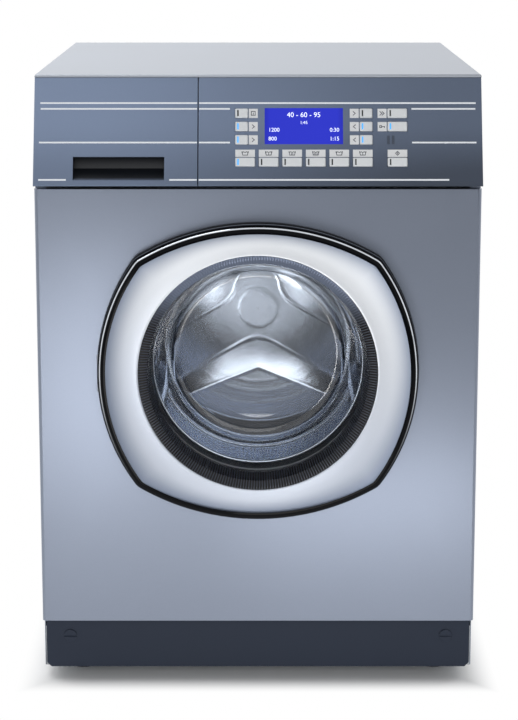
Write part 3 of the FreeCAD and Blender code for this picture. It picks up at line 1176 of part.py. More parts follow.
def drum_basket():
    """Sheet-steel drum with a coned front, an open mouth and a dished back."""
    inner = DRUM_R - SHEET
    dish_out = DRUM_DISH_R + DRUM_DISH_RUN / 2
    dish_in = DRUM_DISH_R - DRUM_DISH_RUN / 2
    dish_d = DRUM_BACK_D - DRUM_DISH
    return turned([(DRUM_MOUTH_R, DRUM_FRONT_D), (DRUM_R, DRUM_SHOULDER_D), (DRUM_R, DRUM_BACK_D),
                   (dish_out, DRUM_BACK_D), (dish_in, dish_d), (0, dish_d), (0, dish_d - SHEET),
                   (dish_in + SHEET / 2, dish_d - SHEET), (dish_out + SHEET / 2, DRUM_BACK_D - SHEET),
                   (inner, DRUM_BACK_D - SHEET), (inner, DRUM_SHOULDER_D + SHEET),
                   (DRUM_MOUTH_R, DRUM_FRONT_D + SHEET)])


def drum_lifters():
    """Paddles on the inside of the drum wall, wide at the foot and round at the crest."""
    pieces = []
    foot_r = DRUM_R - SHEET
    seat = shaft(0, AXIS_Z, foot_r - SEAT_GAP, LIFTER_D)
    for number in range(LIFTERS):
        crest = foot_r - LIFTER_H + LIFTER_CREST_R
        flank = math.atan2(LIFTER_FOOT / 2 - LIFTER_CREST_R, LIFTER_H - LIFTER_CREST_R)
        side_x = LIFTER_CREST_R * math.cos(flank)
        side_r = crest - LIFTER_CREST_R * math.sin(flank)

        def at(x, r):
            return Vector(x, FRONT + LIFTER_D[0], AXIS_Z + r)

        edges = [Part.makeLine(at(-LIFTER_FOOT / 2, foot_r), at(-side_x, side_r)),
                 Part.Arc(at(-side_x, side_r), at(0, crest - LIFTER_CREST_R), at(side_x, side_r)).toShape(),
                 Part.makeLine(at(side_x, side_r), at(LIFTER_FOOT / 2, foot_r)),
                 Part.makeLine(at(LIFTER_FOOT / 2, foot_r), at(-LIFTER_FOOT / 2, foot_r))]
        paddle = Part.Face(Part.Wire(edges)).extrude(Vector(0, LIFTER_D[1] - LIFTER_D[0], 0)).common(seat)
        paddle.rotate(Vector(0, 0, AXIS_Z), Vector(0, 1, 0), 360 / LIFTERS * number)
        pieces.append(paddle)
    return Part.makeCompound(pieces)


def drum_spider():
    """Three-armed casting behind the drum, with the drum shaft."""
    hub_d = DRUM_BACK_D - DRUM_DISH
    pieces = [shaft(0, AXIS_Z, SPIDER_HUB_R, (hub_d, SPIDER_END_D)),
              shaft(0, AXIS_Z, SHAFT_R, (SPIDER_END_D - 1, SHAFT_END_D))]
    for number in range(LIFTERS):
        arm = block(grown((0, 0), SPIDER_ARM_W / 2), (DRUM_BACK_D, DRUM_BACK_D + SPIDER_ARM_T),
                    (AXIS_Z + SPIDER_HUB_R / 2, AXIS_Z + SPIDER_REACH))
        arm.rotate(Vector(0, 0, AXIS_Z), Vector(0, 1, 0), 360 / LIFTERS * number)
        pieces.append(arm)
    return joined(pieces)


def drum_pulley():
    rim = pipe(PULLEY_R, PULLEY_R - PULLEY_RIM, 0, AXIS_Z, PULLEY_D)
    pieces = [rim, shaft(0, AXIS_Z, PULLEY_HUB_R, PULLEY_D)]
    for number in range(PULLEY_SPOKES):
        spoke = block(grown((0, 0), SPOKE_W / 2), grown(PULLEY_D, -(PULLEY_D[1] - PULLEY_D[0]) / 4),
                      (AXIS_Z + PULLEY_HUB_R / 2, AXIS_Z + PULLEY_R - PULLEY_RIM / 2))
        spoke.rotate(Vector(0, 0, AXIS_Z), Vector(0, 1, 0), 360 / PULLEY_SPOKES * number)
        pieces.append(spoke)
    return joined(pieces).cut(shaft(0, AXIS_Z, SHAFT_R + RUN_GAP, grown(PULLEY_D, 1)))


def drive_motor():
    """Motor under the tub, hung by its flat pad."""
    body = shaft(MOTOR_X, MOTOR_Z, MOTOR_R, MOTOR_D)
    body = body.makeChamfer(MOTOR_R / 6, edges_at(body, lambda p: near(p.z, MOTOR_Z) and near(p.x, MOTOR_X)))
    pad = block(grown((MOTOR_X, MOTOR_X), MOTOR_PAD_W / 2), MOTOR_PAD_D, (MOTOR_Z, MOTOR_PAD_Z))
    bore = shaft(MOTOR_X, MOTOR_Z, MOTOR_SHAFT_R + RUN_GAP, (MOTOR_D[1] - MOTOR_SHAFT_HIDDEN, MOTOR_D[1] + 1))
    return joined([body, pad]).cut(bore)


def motor_pulley():
    return joined([shaft(MOTOR_X, MOTOR_Z, MOTOR_SHAFT_R, (MOTOR_D[1] - MOTOR_SHAFT_HIDDEN, PULLEY_D[1])),
                   shaft(MOTOR_X, MOTOR_Z, MOTOR_PULLEY_R, PULLEY_D)])


def belt_loop(grow):
    """Loop of two arcs and two tangents round both pulleys, at a distance from their rims."""
    big = PULLEY_R + grow
    small = MOTOR_PULLEY_R + grow
    span = math.hypot(MOTOR_X, MOTOR_Z - AXIS_Z)
    heading = math.atan2(MOTOR_Z - AXIS_Z, MOTOR_X)
    spread = math.acos((big - small) / span)

    def at(x, z, radius, angle):
        return Vector(x + radius * math.cos(angle), FRONT, z + radius * math.sin(angle))

    left = heading + spread
    right = heading - spread
    edges = [Part.Arc(at(0, AXIS_Z, big, left), at(0, AXIS_Z, big, heading + math.pi),
                      at(0, AXIS_Z, big, right)).toShape(),
             Part.makeLine(at(0, AXIS_Z, big, right), at(MOTOR_X, MOTOR_Z, small, right)),
             Part.Arc(at(MOTOR_X, MOTOR_Z, small, right), at(MOTOR_X, MOTOR_Z, small, heading),
                      at(MOTOR_X, MOTOR_Z, small, left)).toShape(),
             Part.makeLine(at(MOTOR_X, MOTOR_Z, small, left), at(0, AXIS_Z, big, left))]
    return Part.Face(Part.Wire(edges))


def drive_belt():
    d = grown(PULLEY_D, -BELT_INSET)
    loop = belt_loop(BELT_GAP + BELT_T).cut(belt_loop(BELT_GAP)).Faces[0]
    loop.translate(Vector(0, d[0], 0))
    return loop.extrude(Vector(0, d[1] - d[0], 0))


def heater_element():
    """Hairpin heating tube in the sump, on its sealing plate."""
    front = HEATER_D[0] + HEATER_SPREAD
    pieces = [shaft(x, HEATER_Z, HEATER_R, (front, HEATER_D[1])) for x in (-HEATER_SPREAD, HEATER_SPREAD)]
    bend = Part.makeTorus(HEATER_SPREAD, HEATER_R, Vector(0, FRONT + front, HEATER_Z))
    ahead = block(grown((0, 0), HEATER_SPREAD + HEATER_R + 1), (HEATER_D[0] - HEATER_R - 1, front),
                  grown((HEATER_Z, HEATER_Z), HEATER_R + 1))
    pieces.append(bend.common(ahead))
    pieces.append(block(grown((0, 0), HEATER_PLATE[0] / 2), (SUMP_D[1], SUMP_D[1] + HEATER_PLATE[2]),
                        grown((HEATER_Z, HEATER_Z), HEATER_PLATE[1] / 2)))
    return joined(pieces)


def counterweights():
    """Two arcs on the tub's front wall and one saddle block on its top."""
    d = (TUB_FRONT_D - WEIGHT_T, TUB_FRONT_D)
    pieces = []
    for side in (90, 270):
        face = Part.Face(Part.makePolygon([Vector(WEIGHT_R[i], FRONT + d[j], AXIS_Z)
                                           for i, j in ((0, 0), (1, 0), (1, 1), (0, 1), (0, 0))]))
        face.rotate(Vector(0, 0, AXIS_Z), Vector(0, 1, 0), -side - WEIGHT_ARC / 2)
        pieces.append(face.revolve(Vector(0, 0, AXIS_Z), Vector(0, 1, 0), WEIGHT_ARC))
    saddle = block(BLOCK_X, BLOCK_D, (AXIS_Z, BLOCK_TOP))
    rim_d = grown((TUB_SPLIT_D, TUB_SPLIT_D), TUB_RIM_T + SEAT_GAP)
    tub = shaft(0, AXIS_Z, TUB_R + SEAT_GAP, BLOCK_D).fuse(shaft(0, AXIS_Z, TUB_RIM_R + SEAT_GAP, rim_d))
    pieces.append(saddle.cut(tub))
    return Part.makeCompound(pieces)


# Suspension
def suspension_springs():
    """Spring bodies with their end hooks, between the tub lugs and the spring rails."""
    pieces = []
    low = LUG_TOP + SEAT_GAP
    high = SHELL_TOP + RAIL_H - SHEET
    for x in (-HANGER_X, HANGER_X):
        body_z = (low + SPRING_HOOK, high - SPRING_HOOK - RAIL_H)
        body = post(x, HANGER_D, SPRING_R, body_z).cut(post(x, HANGER_D, SPRING_R - SPRING_WIRE,
                                                            grown(body_z, -SPRING_WIRE)))
        hooks = [post(x, HANGER_D, SPRING_WIRE / 2, (low, body_z[0] + SPRING_WIRE)),
                 post(x, HANGER_D, SPRING_WIRE / 2, (body_z[1] - SPRING_WIRE, high + SHEET))]
        pieces.append(joined([body] + hooks))
    return Part.makeCompound(pieces)


def damper_cylinders():
    pieces = []
    for x in (-DAMPER_X, DAMPER_X):
        body = post(x, DAMPER_D, DAMPER_R, (MEMBER_TOP, DAMPER_TOP))
        bore = post(x, DAMPER_D, ROD_R + RUN_GAP, (MEMBER_TOP + DAMPER_FLOOR, DAMPER_TOP + 1))
        pieces.append(body.cut(bore))
    return Part.makeCompound(pieces)


def damper_rods():
    return Part.makeCompound([post(x, DAMPER_D, ROD_R, (ROD_BOTTOM, ROD_TOP)) for x in (-DAMPER_X, DAMPER_X)])


def door_gasket():
    """Folded rubber bellows from the loading port to the tub's neck, with a lip towards the glass."""
    half = GASKET_T / 2
    port_r = PORT_R - SEAT_GAP - half
    neck_r = NECK_R + SEAT_GAP + half
    path = [(port_r, SHEET), (port_r, GASKET_OUT_D[0]), (GASKET_FOLD_R, GASKET_FOLD_D[0]),
            (GASKET_FOLD_R, GASKET_FOLD_D[1]), (port_r, GASKET_OUT_D[1]), (port_r, GASKET_REAR_D),
            (neck_r, GASKET_REAR_D + half), (neck_r, NECK_D + GASKET_NECK_LAP)]
    lip_r = bowl_radius(GASKET_LIP_D[1]) + GASKET_LIP_GAP
    lip = turned([(lip_r, GASKET_LIP_D[1] - half), (port_r, GASKET_LIP_D[0] - half),
                  (port_r, GASKET_LIP_D[0] + half), (lip_r, GASKET_LIP_D[1] + half)])
    return joined([turned(thickened(path, half)), lip])


def thickened(path, half):
    """Outline of a wall of even thickness along a path of radii and depths."""
    sides = {1: [], -1: []}
    for index, (r, d) in enumerate(path):
        before = path[max(index - 1, 0)]
        after = path[min(index + 1, len(path) - 1)]
        normals = []
        for start, end in ((before, (r, d)), ((r, d), after)):
            length = math.hypot(end[0] - start[0], end[1] - start[1])
            if length > 0:
                normals.append(((start[1] - end[1]) / length, (end[0] - start[0]) / length))
        nr = sum(normal[0] for normal in normals) / len(normals)
        nd = sum(normal[1] for normal in normals) / len(normals)
        stretch = half / (nr * nr + nd * nd)
        for side in sides:
            sides[side].append((r + side * nr * stretch, d + side * nd * stretch))
    return sides[1] + sides[-1][::-1]


# Water
def drain_pump():
    """Pump and lint filter body on the base frame, with its inlet, outlet and filter cap."""
    body = shaft(PUMP_X, PUMP_Z, PUMP_R, PUMP_D)
    cap = shaft(PUMP_X, PUMP_Z, PUMP_CAP_R, (PUMP_D[0] - PUMP_CAP_T, PUMP_D[0]))
    foot = block(grown((PUMP_X, PUMP_X), PUMP_FOOT_W / 2), grown(PUMP_D, -PUMP_CAP_T), (BASE_TOP, PUMP_Z))
    inlet_start = Vector(PUMP_X, FRONT + PUMP_INLET_D, SUMP_HOSE_TURN_Z)
    inlet = Part.makeCylinder(PUMP_INLET_R, PUMP_INLET_REACH, inlet_start, Vector(-1, 0, 0))
    branch = block((PUMP_X, DRAIN_X + DRAIN_R), (PUMP_D[1] - 2 * DRAIN_R, PUMP_D[1]),
                   grown((DRAIN_Z, DRAIN_Z), DRAIN_R))
    outlet = shaft(DRAIN_X, DRAIN_Z, DRAIN_R, (PUMP_D[1] - 1, PUMP_D[1] + STUB))
    return joined([body, cap, foot, inlet, branch, outlet])


def sump_hose_path():
    """Down from the sump, then two bends to the pump inlet."""
    end_x = PUMP_X - PUMP_INLET_REACH + STUB
    turn_x = SUMP_OUT_X + 2 * SUMP_HOSE_R
    points = [Vector(SUMP_OUT_X, FRONT + SUMP_OUT_D, SUMP_BOTTOM - SEAT_GAP),
              Vector(SUMP_OUT_X, FRONT + SUMP_OUT_D, SUMP_HOSE_TURN_Z),
              Vector(turn_x, FRONT + PUMP_INLET_D, SUMP_HOSE_TURN_Z),
              Vector(end_x, FRONT + PUMP_INLET_D, SUMP_HOSE_TURN_Z)]
    edges = []
    start = points[0]
    for before, corner, after in zip(points, points[1:], points[2:]):
        back = (before - corner).normalize()
        ahead = (after - corner).normalize()
        half_turn = back.getAngle(ahead) / 2
        trim = SUMP_HOSE_R / math.tan(half_turn)
        inward = (back + ahead).normalize()
        centre = corner + inward * (SUMP_HOSE_R / math.sin(half_turn))
        first = corner + back * trim
        last = corner + ahead * trim
        edges.append(Part.makeLine(start, first))
        edges.append(Part.Arc(first, centre - inward * SUMP_HOSE_R, last).toShape())
        start = last
    edges.append(Part.makeLine(start, points[-1]))
    return Part.Wire(edges)


def swept_tube(path, radius):
    start = path.Vertexes[0].Point
    ring = Part.Wire(Part.makeCircle(radius, start, path.Edges[0].tangentAt(path.Edges[0].FirstParameter)))
    return path.makePipeShell([ring], True, False)


def water_hoses():
    """Sump hose, dispenser hose, drain hose and inlet hose."""
    sump_bore = SUMP_OUT_R + HOSE_GAP
    path = sump_hose_path()
    sump = swept_tube(path, sump_bore + HOSE_WALL).cut(swept_tube(path, sump_bore))
    spout_bore = SPOUT_R + HOSE_GAP
    spout_z = (SPIGOT_SEAT_Z + SEAT_GAP, HOUSING_BOTTOM - SEAT_GAP)
    spout = post(SPOUT_X, SPOUT_D, spout_bore + HOSE_WALL, spout_z)
    spout = spout.cut(post(SPOUT_X, SPOUT_D, spout_bore, spout_z))
    drain_bore = DRAIN_R + HOSE_GAP
    drain = pipe(drain_bore + HOSE_WALL, drain_bore, DRAIN_X, DRAIN_Z,
                 (PUMP_D[1] + SEAT_GAP, BACK_INSIDE_D - SPIGOT_PLATE_T))
    inlet_bore = INLET_STUB_R + HOSE_GAP
    inlet = pipe(inlet_bore + HOSE_WALL, inlet_bore, INLET_X, INLET_Z,
                 (HOUSING_D[1] + SEAT_GAP, VALVE_D - SEAT_GAP))
    return Part.makeCompound([sump, spout, drain, inlet])


def rear_connections():
    """Inlet valve with its hose thread, drain spigot and cable gland, all on the back wall."""
    half = VALVE_W / 2
    valve_x = grown((INLET_X, INLET_X), half)
    valve = joined([block(valve_x, (VALVE_D, BACK_INSIDE_D), grown((INLET_Z, INLET_Z), half)),
                    shaft(INLET_X, INLET_Z, INLET_THREAD_R - NECK_STEP, (BACK_INSIDE_D - 1, HOSE_SEAT_D)),
                    shaft(INLET_X, INLET_Z, INLET_THREAD_R, (HOSE_SEAT_D, BODY_DEPTH + REAR_PROUD)),
                    shaft(INLET_X, INLET_Z, INLET_STUB_R, (VALVE_D - STUB, VALVE_D + 1))])
    plate_d = (BACK_INSIDE_D - SPIGOT_PLATE_T + SEAT_GAP, BACK_INSIDE_D)
    spigot = joined([shaft(DRAIN_X, DRAIN_Z, 2 * DRAIN_R, plate_d),
                     shaft(DRAIN_X, DRAIN_Z, DRAIN_R, (plate_d[0] - STUB, plate_d[1])),
                     shaft(DRAIN_X, DRAIN_Z, DRAIN_R - NECK_STEP, (BACK_INSIDE_D - 1, HOSE_SEAT_D)),
                     shaft(DRAIN_X, DRAIN_Z, DRAIN_R, (HOSE_SEAT_D, BODY_DEPTH + REAR_PROUD))])
    spigot = spigot.cut(shaft(DRAIN_X, DRAIN_Z, DRAIN_R - HOSE_WALL, (plate_d[0] - STUB - 1,
                                                                      BODY_DEPTH + REAR_PROUD + 1)))
    dome_start = Vector(GLAND_X, FRONT + BODY_DEPTH, GLAND_Z)
    gland = joined([shaft(GLAND_X, GLAND_Z, GLAND_R, (BACK_INSIDE_D - GLAND_DOME, BACK_INSIDE_D)),
                    shaft(GLAND_X, GLAND_Z, GLAND_NECK_R, (BACK_INSIDE_D - 1, BODY_DEPTH + 1)),
                    Part.makeCone(GLAND_R, GLAND_NECK_R, GLAND_DOME, dome_start, Vector(0, 1, 0))])
    gland = gland.cut(shaft(GLAND_X, GLAND_Z, GLAND_BORE_R, (BACK_INSIDE_D - GLAND_DOME - 1,
                                                             BODY_DEPTH + GLAND_DOME + 1)))
    thread_bore = shaft(INLET_X, INLET_Z, INLET_STUB_R, (BODY_DEPTH, BODY_DEPTH + REAR_PROUD + 1))
    return Part.makeCompound([valve.cut(thread_bore), spigot, gland])


# Write every node
def build():
    keys = key_table()
    nodes = {
        "base_frame": base_frame(),
        "cabinet_shell": cabinet_shell(),
        "rear_service_cover": rear_service_cover(),
        "front_panel": front_panel(),
        "top_cover": top_cover(),
        "cross_rails": cross_rails(),
        "plinth_panel": plinth_panel(),
        "plinth_catch_left": plinth_catch(-CATCH_X),
        "plinth_catch_right": plinth_catch(CATCH_X),
        "levelling_feet": levelling_feet(),
        "control_fascia": control_fascia(keys),
        "panel_windows": panel_windows(),
        "display_board": display_board(keys),
        "key_label_plates": key_label_plates(keys),
        "drawer_front": drawer_front(),
        "drawer_tray": drawer_tray(),
        "siphon_insert": siphon_insert(),
        "drawer_housing": drawer_housing(),
        "door_back_frame": door_back_frame(),
        "door_rim": door_rim(),
        "door_bezel": door_bezel(),
        "door_glass": door_glass(),
        "door_hinge_bracket": door_hinge_bracket(),
        "door_hinge_arm": door_hinge_arm(),
        "latch_hook": latch_hook(),
        "door_lock": door_lock(),
        "tub_front": tub_front(),
        "tub_rear": tub_rear(),
        "drum_bearings": drum_bearings(),
        "drum_basket": drum_basket(),
        "drum_lifters": drum_lifters(),
        "drum_spider": drum_spider(),
        "drum_pulley": drum_pulley(),
        "drive_motor": drive_motor(),
        "motor_pulley": motor_pulley(),
        "drive_belt": drive_belt(),
        "heater_element": heater_element(),
        "counterweights": counterweights(),
        "suspension_springs": suspension_springs(),
        "damper_cylinders": damper_cylinders(),
        "damper_rods": damper_rods(),
        "door_gasket": door_gasket(),
        "drain_pump": drain_pump(),
        "water_hoses": water_hoses(),
    }
    for name, (key_x, key_s, _, _) in keys.items():
        nodes[name] = key(key_x, key_s)
    nodes["rear_connections"] = rear_connections()
    os.makedirs("parts", exist_ok=True)
    for name, shape in nodes.items():
        shape.exportStep("parts/" + name + ".step")
    print(len(nodes), "nodes")


build()
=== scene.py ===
import bpy
import bmesh
import json
from math import atan2, cos, dist, hypot, pi, radians, sin, sqrt
from mathutils import Matrix, Vector

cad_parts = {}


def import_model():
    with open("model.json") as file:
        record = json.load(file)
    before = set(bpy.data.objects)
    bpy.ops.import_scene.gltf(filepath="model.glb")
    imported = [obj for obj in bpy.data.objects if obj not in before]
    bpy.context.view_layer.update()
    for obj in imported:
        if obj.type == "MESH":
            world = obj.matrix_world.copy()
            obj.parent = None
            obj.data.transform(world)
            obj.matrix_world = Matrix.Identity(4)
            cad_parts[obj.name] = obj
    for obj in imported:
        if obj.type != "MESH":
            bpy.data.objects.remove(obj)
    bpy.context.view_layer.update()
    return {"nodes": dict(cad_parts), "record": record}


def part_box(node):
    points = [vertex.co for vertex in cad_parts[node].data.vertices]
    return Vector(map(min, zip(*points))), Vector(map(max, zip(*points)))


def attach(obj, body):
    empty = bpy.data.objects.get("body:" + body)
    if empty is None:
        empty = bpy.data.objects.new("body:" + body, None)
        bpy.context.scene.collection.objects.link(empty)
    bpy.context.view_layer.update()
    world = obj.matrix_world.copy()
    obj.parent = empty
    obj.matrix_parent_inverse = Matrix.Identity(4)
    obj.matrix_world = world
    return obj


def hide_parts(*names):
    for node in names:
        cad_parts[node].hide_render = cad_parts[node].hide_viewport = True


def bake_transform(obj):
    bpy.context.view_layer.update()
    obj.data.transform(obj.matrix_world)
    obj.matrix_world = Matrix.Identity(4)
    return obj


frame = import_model()
BODIES = {node: body for body, nodes in frame["record"]["behaviour"]["bodies"].items() for node in nodes}
SLOTS = {row["node"]: row["material_slot"] for row in frame["record"]["subparts"]}

# Sizes in millimetres, turned to metres by MM. A depth d runs back from the front panel's face.
MM = 0.001
PANEL_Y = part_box("front_panel")[0].y
AXIS_Z = sum(corner.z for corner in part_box("door_glass")) / 2
MERGE = 0.005
SOLID_MERGE = 0.01
SMOOTH_ANGLE = radians(32)
SOLID_ANGLE = radians(28)

# Leaning fascia with the spans of its painted light, the grip in the drawer's front with painted shade in
# its pocket, and the seam beside the drawer
FASCIA_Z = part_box("control_fascia")[0].z
FASCIA_PROUD = 14.3
FASCIA_PAINTED_LIGHT_X = 300.0
FASCIA_PAINTED_LIGHT_H = 90.0
LEAN = radians(18.8)
GRIP_X = -190.0
GRIP_HALF = 64.5
GRIP_TOP = 44.0
GRIP_DEPTHS = (1.0, 6.0)
GRIP_SOFT = (0.5, 1.0)   # at its sides and its top
SEAM_X = -80.2
SEAM_GAP = 1.4

# Door outline of four arcs with rounded corners, and the sections of its ring
HALF_W = 218.5
HALF_H = 205.5
SIDE_R = 265.0
TOP_R = 317.0
CORNER_R = 26.0
ARC_STEPS = 26
CORNER_STEPS = 14
DOOR_FRONT = -28.0
DOOR_MID = -10.0
RIM_OUTER = 1.0
RIM_INNER = 10.2
RIM_ROUND = 11.5
RIM_EDGE = 0.5
# two painted highlight lines round the rim's flank, faded out towards its foot
RIM_PAINTED_HIGHLIGHTS = ((-14.6, 2.6, 0.45), (-24.9, 1.0, 0.85))   # depth, half width and strength
RIM_HIGHLIGHT_FADE = (-160.0, 40.0)
NOTCH_HALF = 26.0
NOTCH_X = (-HALF_W - 2.0, -HALF_W + 2 * RIM_INNER)
NOTCH_D = (-18.0, -6.0)

# Satin face of the door, with the painted light and painted shade on it
FACE_GAP = 0.3
FACE_EDGE = 0.5
FACE_FRONT = -27.0
FACE_R = 162.5
FACE_LIP = 0.8
FACE_ROUND = ((0.25, 0.2), (0.0, 0.9))
FACE_BANDS = 22
FACE_RISE = 7.0
FACE_BOW = 0.72
DISH_R = 216.0
# painted light on the face, lighter upwards along this slant, and painted shade towards its outline
FACE_LIGHT_SLANT = (0.25, 0.97)
FACE_LIGHT_FADE = (-100.0, 200.0)
EDGE_PAINTED_SHADE = (-0.1, 0.62)
OPENING_EDGE = 0.5

# Glass bowl
FLANGE_R = 172.0
FLANGE_T = 4.0
FLANGE_D = DOOR_MID - FLANGE_T
FLANGE_GAP = 0.5
GLASS_T = 5.0
BOWL_R = 156.0
BOWL_FOOT = 2.0
BOWL_FILLET = 3.0
FILLET_MID = 0.9
BOWL_END_R = 128.0
BOWL_DEPTH = 105.0
BOWL_ROUND = 20.0
BOWL_END_ROWS = (0.08, 0.3, 0.6, 0.85)
BOWL_POINTS = 160

# Ribbed lip of the gasket
LIP_IN_R = 153.0
LIP_IN_D = 12.4
LIP_OUT_R = 183.0
LIP_OUT_D = 8.4
RIB_IN_R = 153.5
RIB_OUT_R = 176.0
RIB_EDGE = 0.4
RIB_BASE = 0.3
RIB_H = 0.9
RIBS = 270
RIB_POINTS = 4
RIB_PROUD = (1, 2)
RIB_MIDDLE = 0.375

# The floating tub: depths of the gasket's fold, a spring's end hook and the sump hose's thickness
BELLOWS_D = (22.0, 40.0)
SPRING_HOOK_H = 44.0
SUMP_HOSE_D = 36.0

# Ribbed black trim in front of the glass: a cone from the door face, then a skirt inside the bowl
TRIM_FRONT = (162.2, -19.6)
TRIM_EDGE = (161.6, -19.35)
TRIM_BEND = (150.9, -14.6)
TRIM_SKIRT = (150.2, -11.4)
TRIM_END = (145.4, 6.0)
TRIM_BACK = ((145.4, 6.3), (145.75, 6.0), (150.6, -11.4), (151.4, -14.15), (162.2, -14.15))
PLAIN = (0.0, 0.0)
CONE_RIB = (-0.2, -0.45)
SKIRT_RIB = (-0.45, -0.15)
# painted reflection greying the trim towards the top, and the edges of the painted highlight on the rib
# tops
TRIM_PAINTED_REFLECTION = (60.0, 120.0)
CREST_HIGHLIGHT_EDGE = (0.18, 0.4)

# Drum
DRUM_R = 240.0
DRUM_MOUTH_R = 165.0
MOUTH_ROLL = 4.0
DRUM_FRONT = 99.0
DRUM_SHOULDER = 117.0
CONE_END = (DRUM_R - 9.0, DRUM_SHOULDER - 3.0)
SHOULDER_LAG = 6.0
DRUM_ROUND = 8.0
WALL_ROWS = (200.0, 300.0)
DRUM_BACK = 420.0
DRUM_SHEET = 1.2
DRUM_POINTS = 360
BACK_R = 226.0
BACK_STEP = 2.5
BACK_ROWS = 91
BULGE_R = 178.0
BULGE_H = 24.5
BULGE_DISH = 17.5
STAR_ARMS = 3
STAR_LEVEL = 11.3
STAR_BLEND = 7
STAR_TOP = 34.0
STAR_FOOT = 88.0
STAR_TAPER = 0.155
STAR_R = 224.0
STAR_RUN = 40.0
BEAD_H = 0.6
BEAD_HALF = 4.0
BACK_RINGS = (116.0, 132.0, 152.0)
RING_H = 0.12
HUB_R = 28.0
HUB_EDGE = 5.0
HUB_H = 0.3
# drain holes, drawn on the wall as dark spots of painted shade
HOLE_PITCH = 14.0
HOLE_EDGE = (0.115, 0.135)   # in pitches
HOLE_RIM = (0.2, 0.24)   # in pitches
HOLE_WALL = (6.0, 4.0)

# Keys and display on the fascia: x across, s up the slope, n out of its face
KEY_FACE = 2.2
LED_INSET = 2.7
LED_W = 2.0
LED_H = 8.5
LED_DEPTH = 0.6
LED_GAP = 0.1
LED_BEVEL = 0.15
ROW_S = 57.3
ROW_PITCH = 18.1
ROW_H = 12.6
SMALL_KEY_W = 17.0
WIDE_KEY_W = 26.2
LABEL_W = 12.0
LABEL_GAP = 1.2
LABEL_FACE = 0.2
LEFT_X = -30.5
RIGHT_X = 122.8
WIDE_X = 160.0
PROGRAMS = 6
PROGRAM_X = -30.3
PROGRAM_PITCH = 31.4
PROGRAM_S = 27.4
PROGRAM_H = 11.7
PROGRAM_LABEL_H = 10.0
START_X = 173.0
LIT_KEYS = ("key_left_middle", "key_left_lower", "key_right_middle", "key_right_lower",
            "key_wide_middle", "key_program_1")
DISPLAY_X = 8.9
DISPLAY_S = 57.8
DISPLAY_W = 104.8
DISPLAY_H = 49.3
DISPLAY_EDGE = 9.0
DISPLAY_MARGIN = 5.0
FIGURE_T = 0.05
FIGURE_LIFT = 0.06
FIGURE_CURVES = 4

# Figures on the display: text, side, distance below the top and size
FIGURES = (("40 - 60 - 95", "CENTER", 9.5, 9.5), ("1:45", "CENTER", 20.0, 6.0),
           ("1200", "LEFT", 30.0, 7.5), ("0:30", "RIGHT", 30.0, 7.5),
           ("800", "LEFT", 42.0, 7.5), ("1:15", "RIGHT", 42.0, 7.5))

# Signs on the labels, as paths of points (x, s) round the middle of each
SIGN_W = 0.9
SIGN_T = 0.12
SIGN_BEVEL = 0.03
CHEVRON = [[(-1.4, 2.4), (1.4, 0.0), (-1.4, -2.4)]]
CHEVRON_STEP = 1.5
BOX = [[(-2.6, -2.6), (2.6, -2.6), (2.6, 2.6), (-2.6, 2.6), (-2.6, -2.6)], [(0.0, -1.2), (0.0, 0.6)]]
KEY = [[(-3.2, -1.3), (-0.8, -1.3), (-0.8, 1.3), (-3.2, 1.3), (-3.2, -1.3)],
       [(-0.8, 0.0), (3.4, 0.0)], [(3.0, 0.0), (3.0, -1.4)]]
DIAMOND = [[(-2.6, 0.0), (0.0, -2.6), (2.6, 0.0), (0.0, 2.6), (-2.6, 0.0)], [(0.0, -0.6), (0.0, 0.9)]]
TUB = [[(-4.2, 2.4), (-3.2, -2.4), (3.2, -2.4), (4.2, 2.4)],
       [(-4.2, 1.2), (-2.0, 2.0), (0.0, 1.2), (2.0, 2.0), (4.2, 1.2)]]
TUB_BAR = (-1.4, -0.2)
TUB_BAR_PITCH = 1.9
TUB_KINDS = 4

# White lines printed across the fascia: start and end in x, and s
PRINT_W = 2.2
PRINT_T = 0.12
PRINT_BEVEL = 0.04
DRAWER_END = SEAM_X - SEAM_GAP
PANEL_START = SEAM_X + SEAM_GAP
DRAWER_LINES = ((-291.6, DRAWER_END, 113.9), (-291.0, DRAWER_END, 106.0), (-292.5, DRAWER_END, 60.0),
                (-292.7, -255.8, 9.3), (-118.2, DRAWER_END, 9.3))
PANEL_LINES = ((PANEL_START, 291.6, 113.9), (PANEL_START, -37.6, 106.0), (205.4, 291.0, 106.0),
               (PANEL_START, -37.4, 60.0), (205.6, 291.7, 60.0), (PANEL_START, 254.7, 9.3))

# Screws on the back
SCREW_R = 5.0
SCREW_T = 2.4
SCREW_SIDES = 28
SCREW_CROWN = ((1.0, 0.5), (1.6, 0.3))   # inset and rise
SLOT_HALF = 3.4
SLOT_HALF_W = 0.55
SLOT_Y = (1.3, 3.5)
COVER_SCREW_R = 203.0
COVER_SCREWS = 8
COVER_SHEET = 1.3
WALL_SCREW_X = 284.0
WALL_SCREW_Z = (60.0, 796.0)

# Pieces whose solids are copied and shaded smooth
SMOOTH_NODES = ("front_panel", "top_cover", "cabinet_shell", "rear_service_cover", "control_fascia",
                "drawer_front", "plinth_panel", "plinth_catch_left", "plinth_catch_right",
                "levelling_feet", "door_back_frame", "drum_lifters", "door_hinge_bracket",
                "door_hinge_arm", "rear_connections")

# Noise scales of the finishes, in waves to the metre; BRUSH runs along radius, y and turn
FLAKES = 1600
CLOUDS = 5
PORE_CLOUDS = 9
WIPE_MARKS = 14
WIPE_SHAPE = (1, 1, 6)
TRIM_GRAIN = 500
CRYSTALS = 160
ZINC_CLOUDS = 12
PITS = 420
PIT_CLOUDS = 16
SKIN = 700
BLOOM = 18
BRUSH = (260, 260, 1.5)
RIPPLE = 16
PIXELS = 900
INK = 1200
DUST = 30

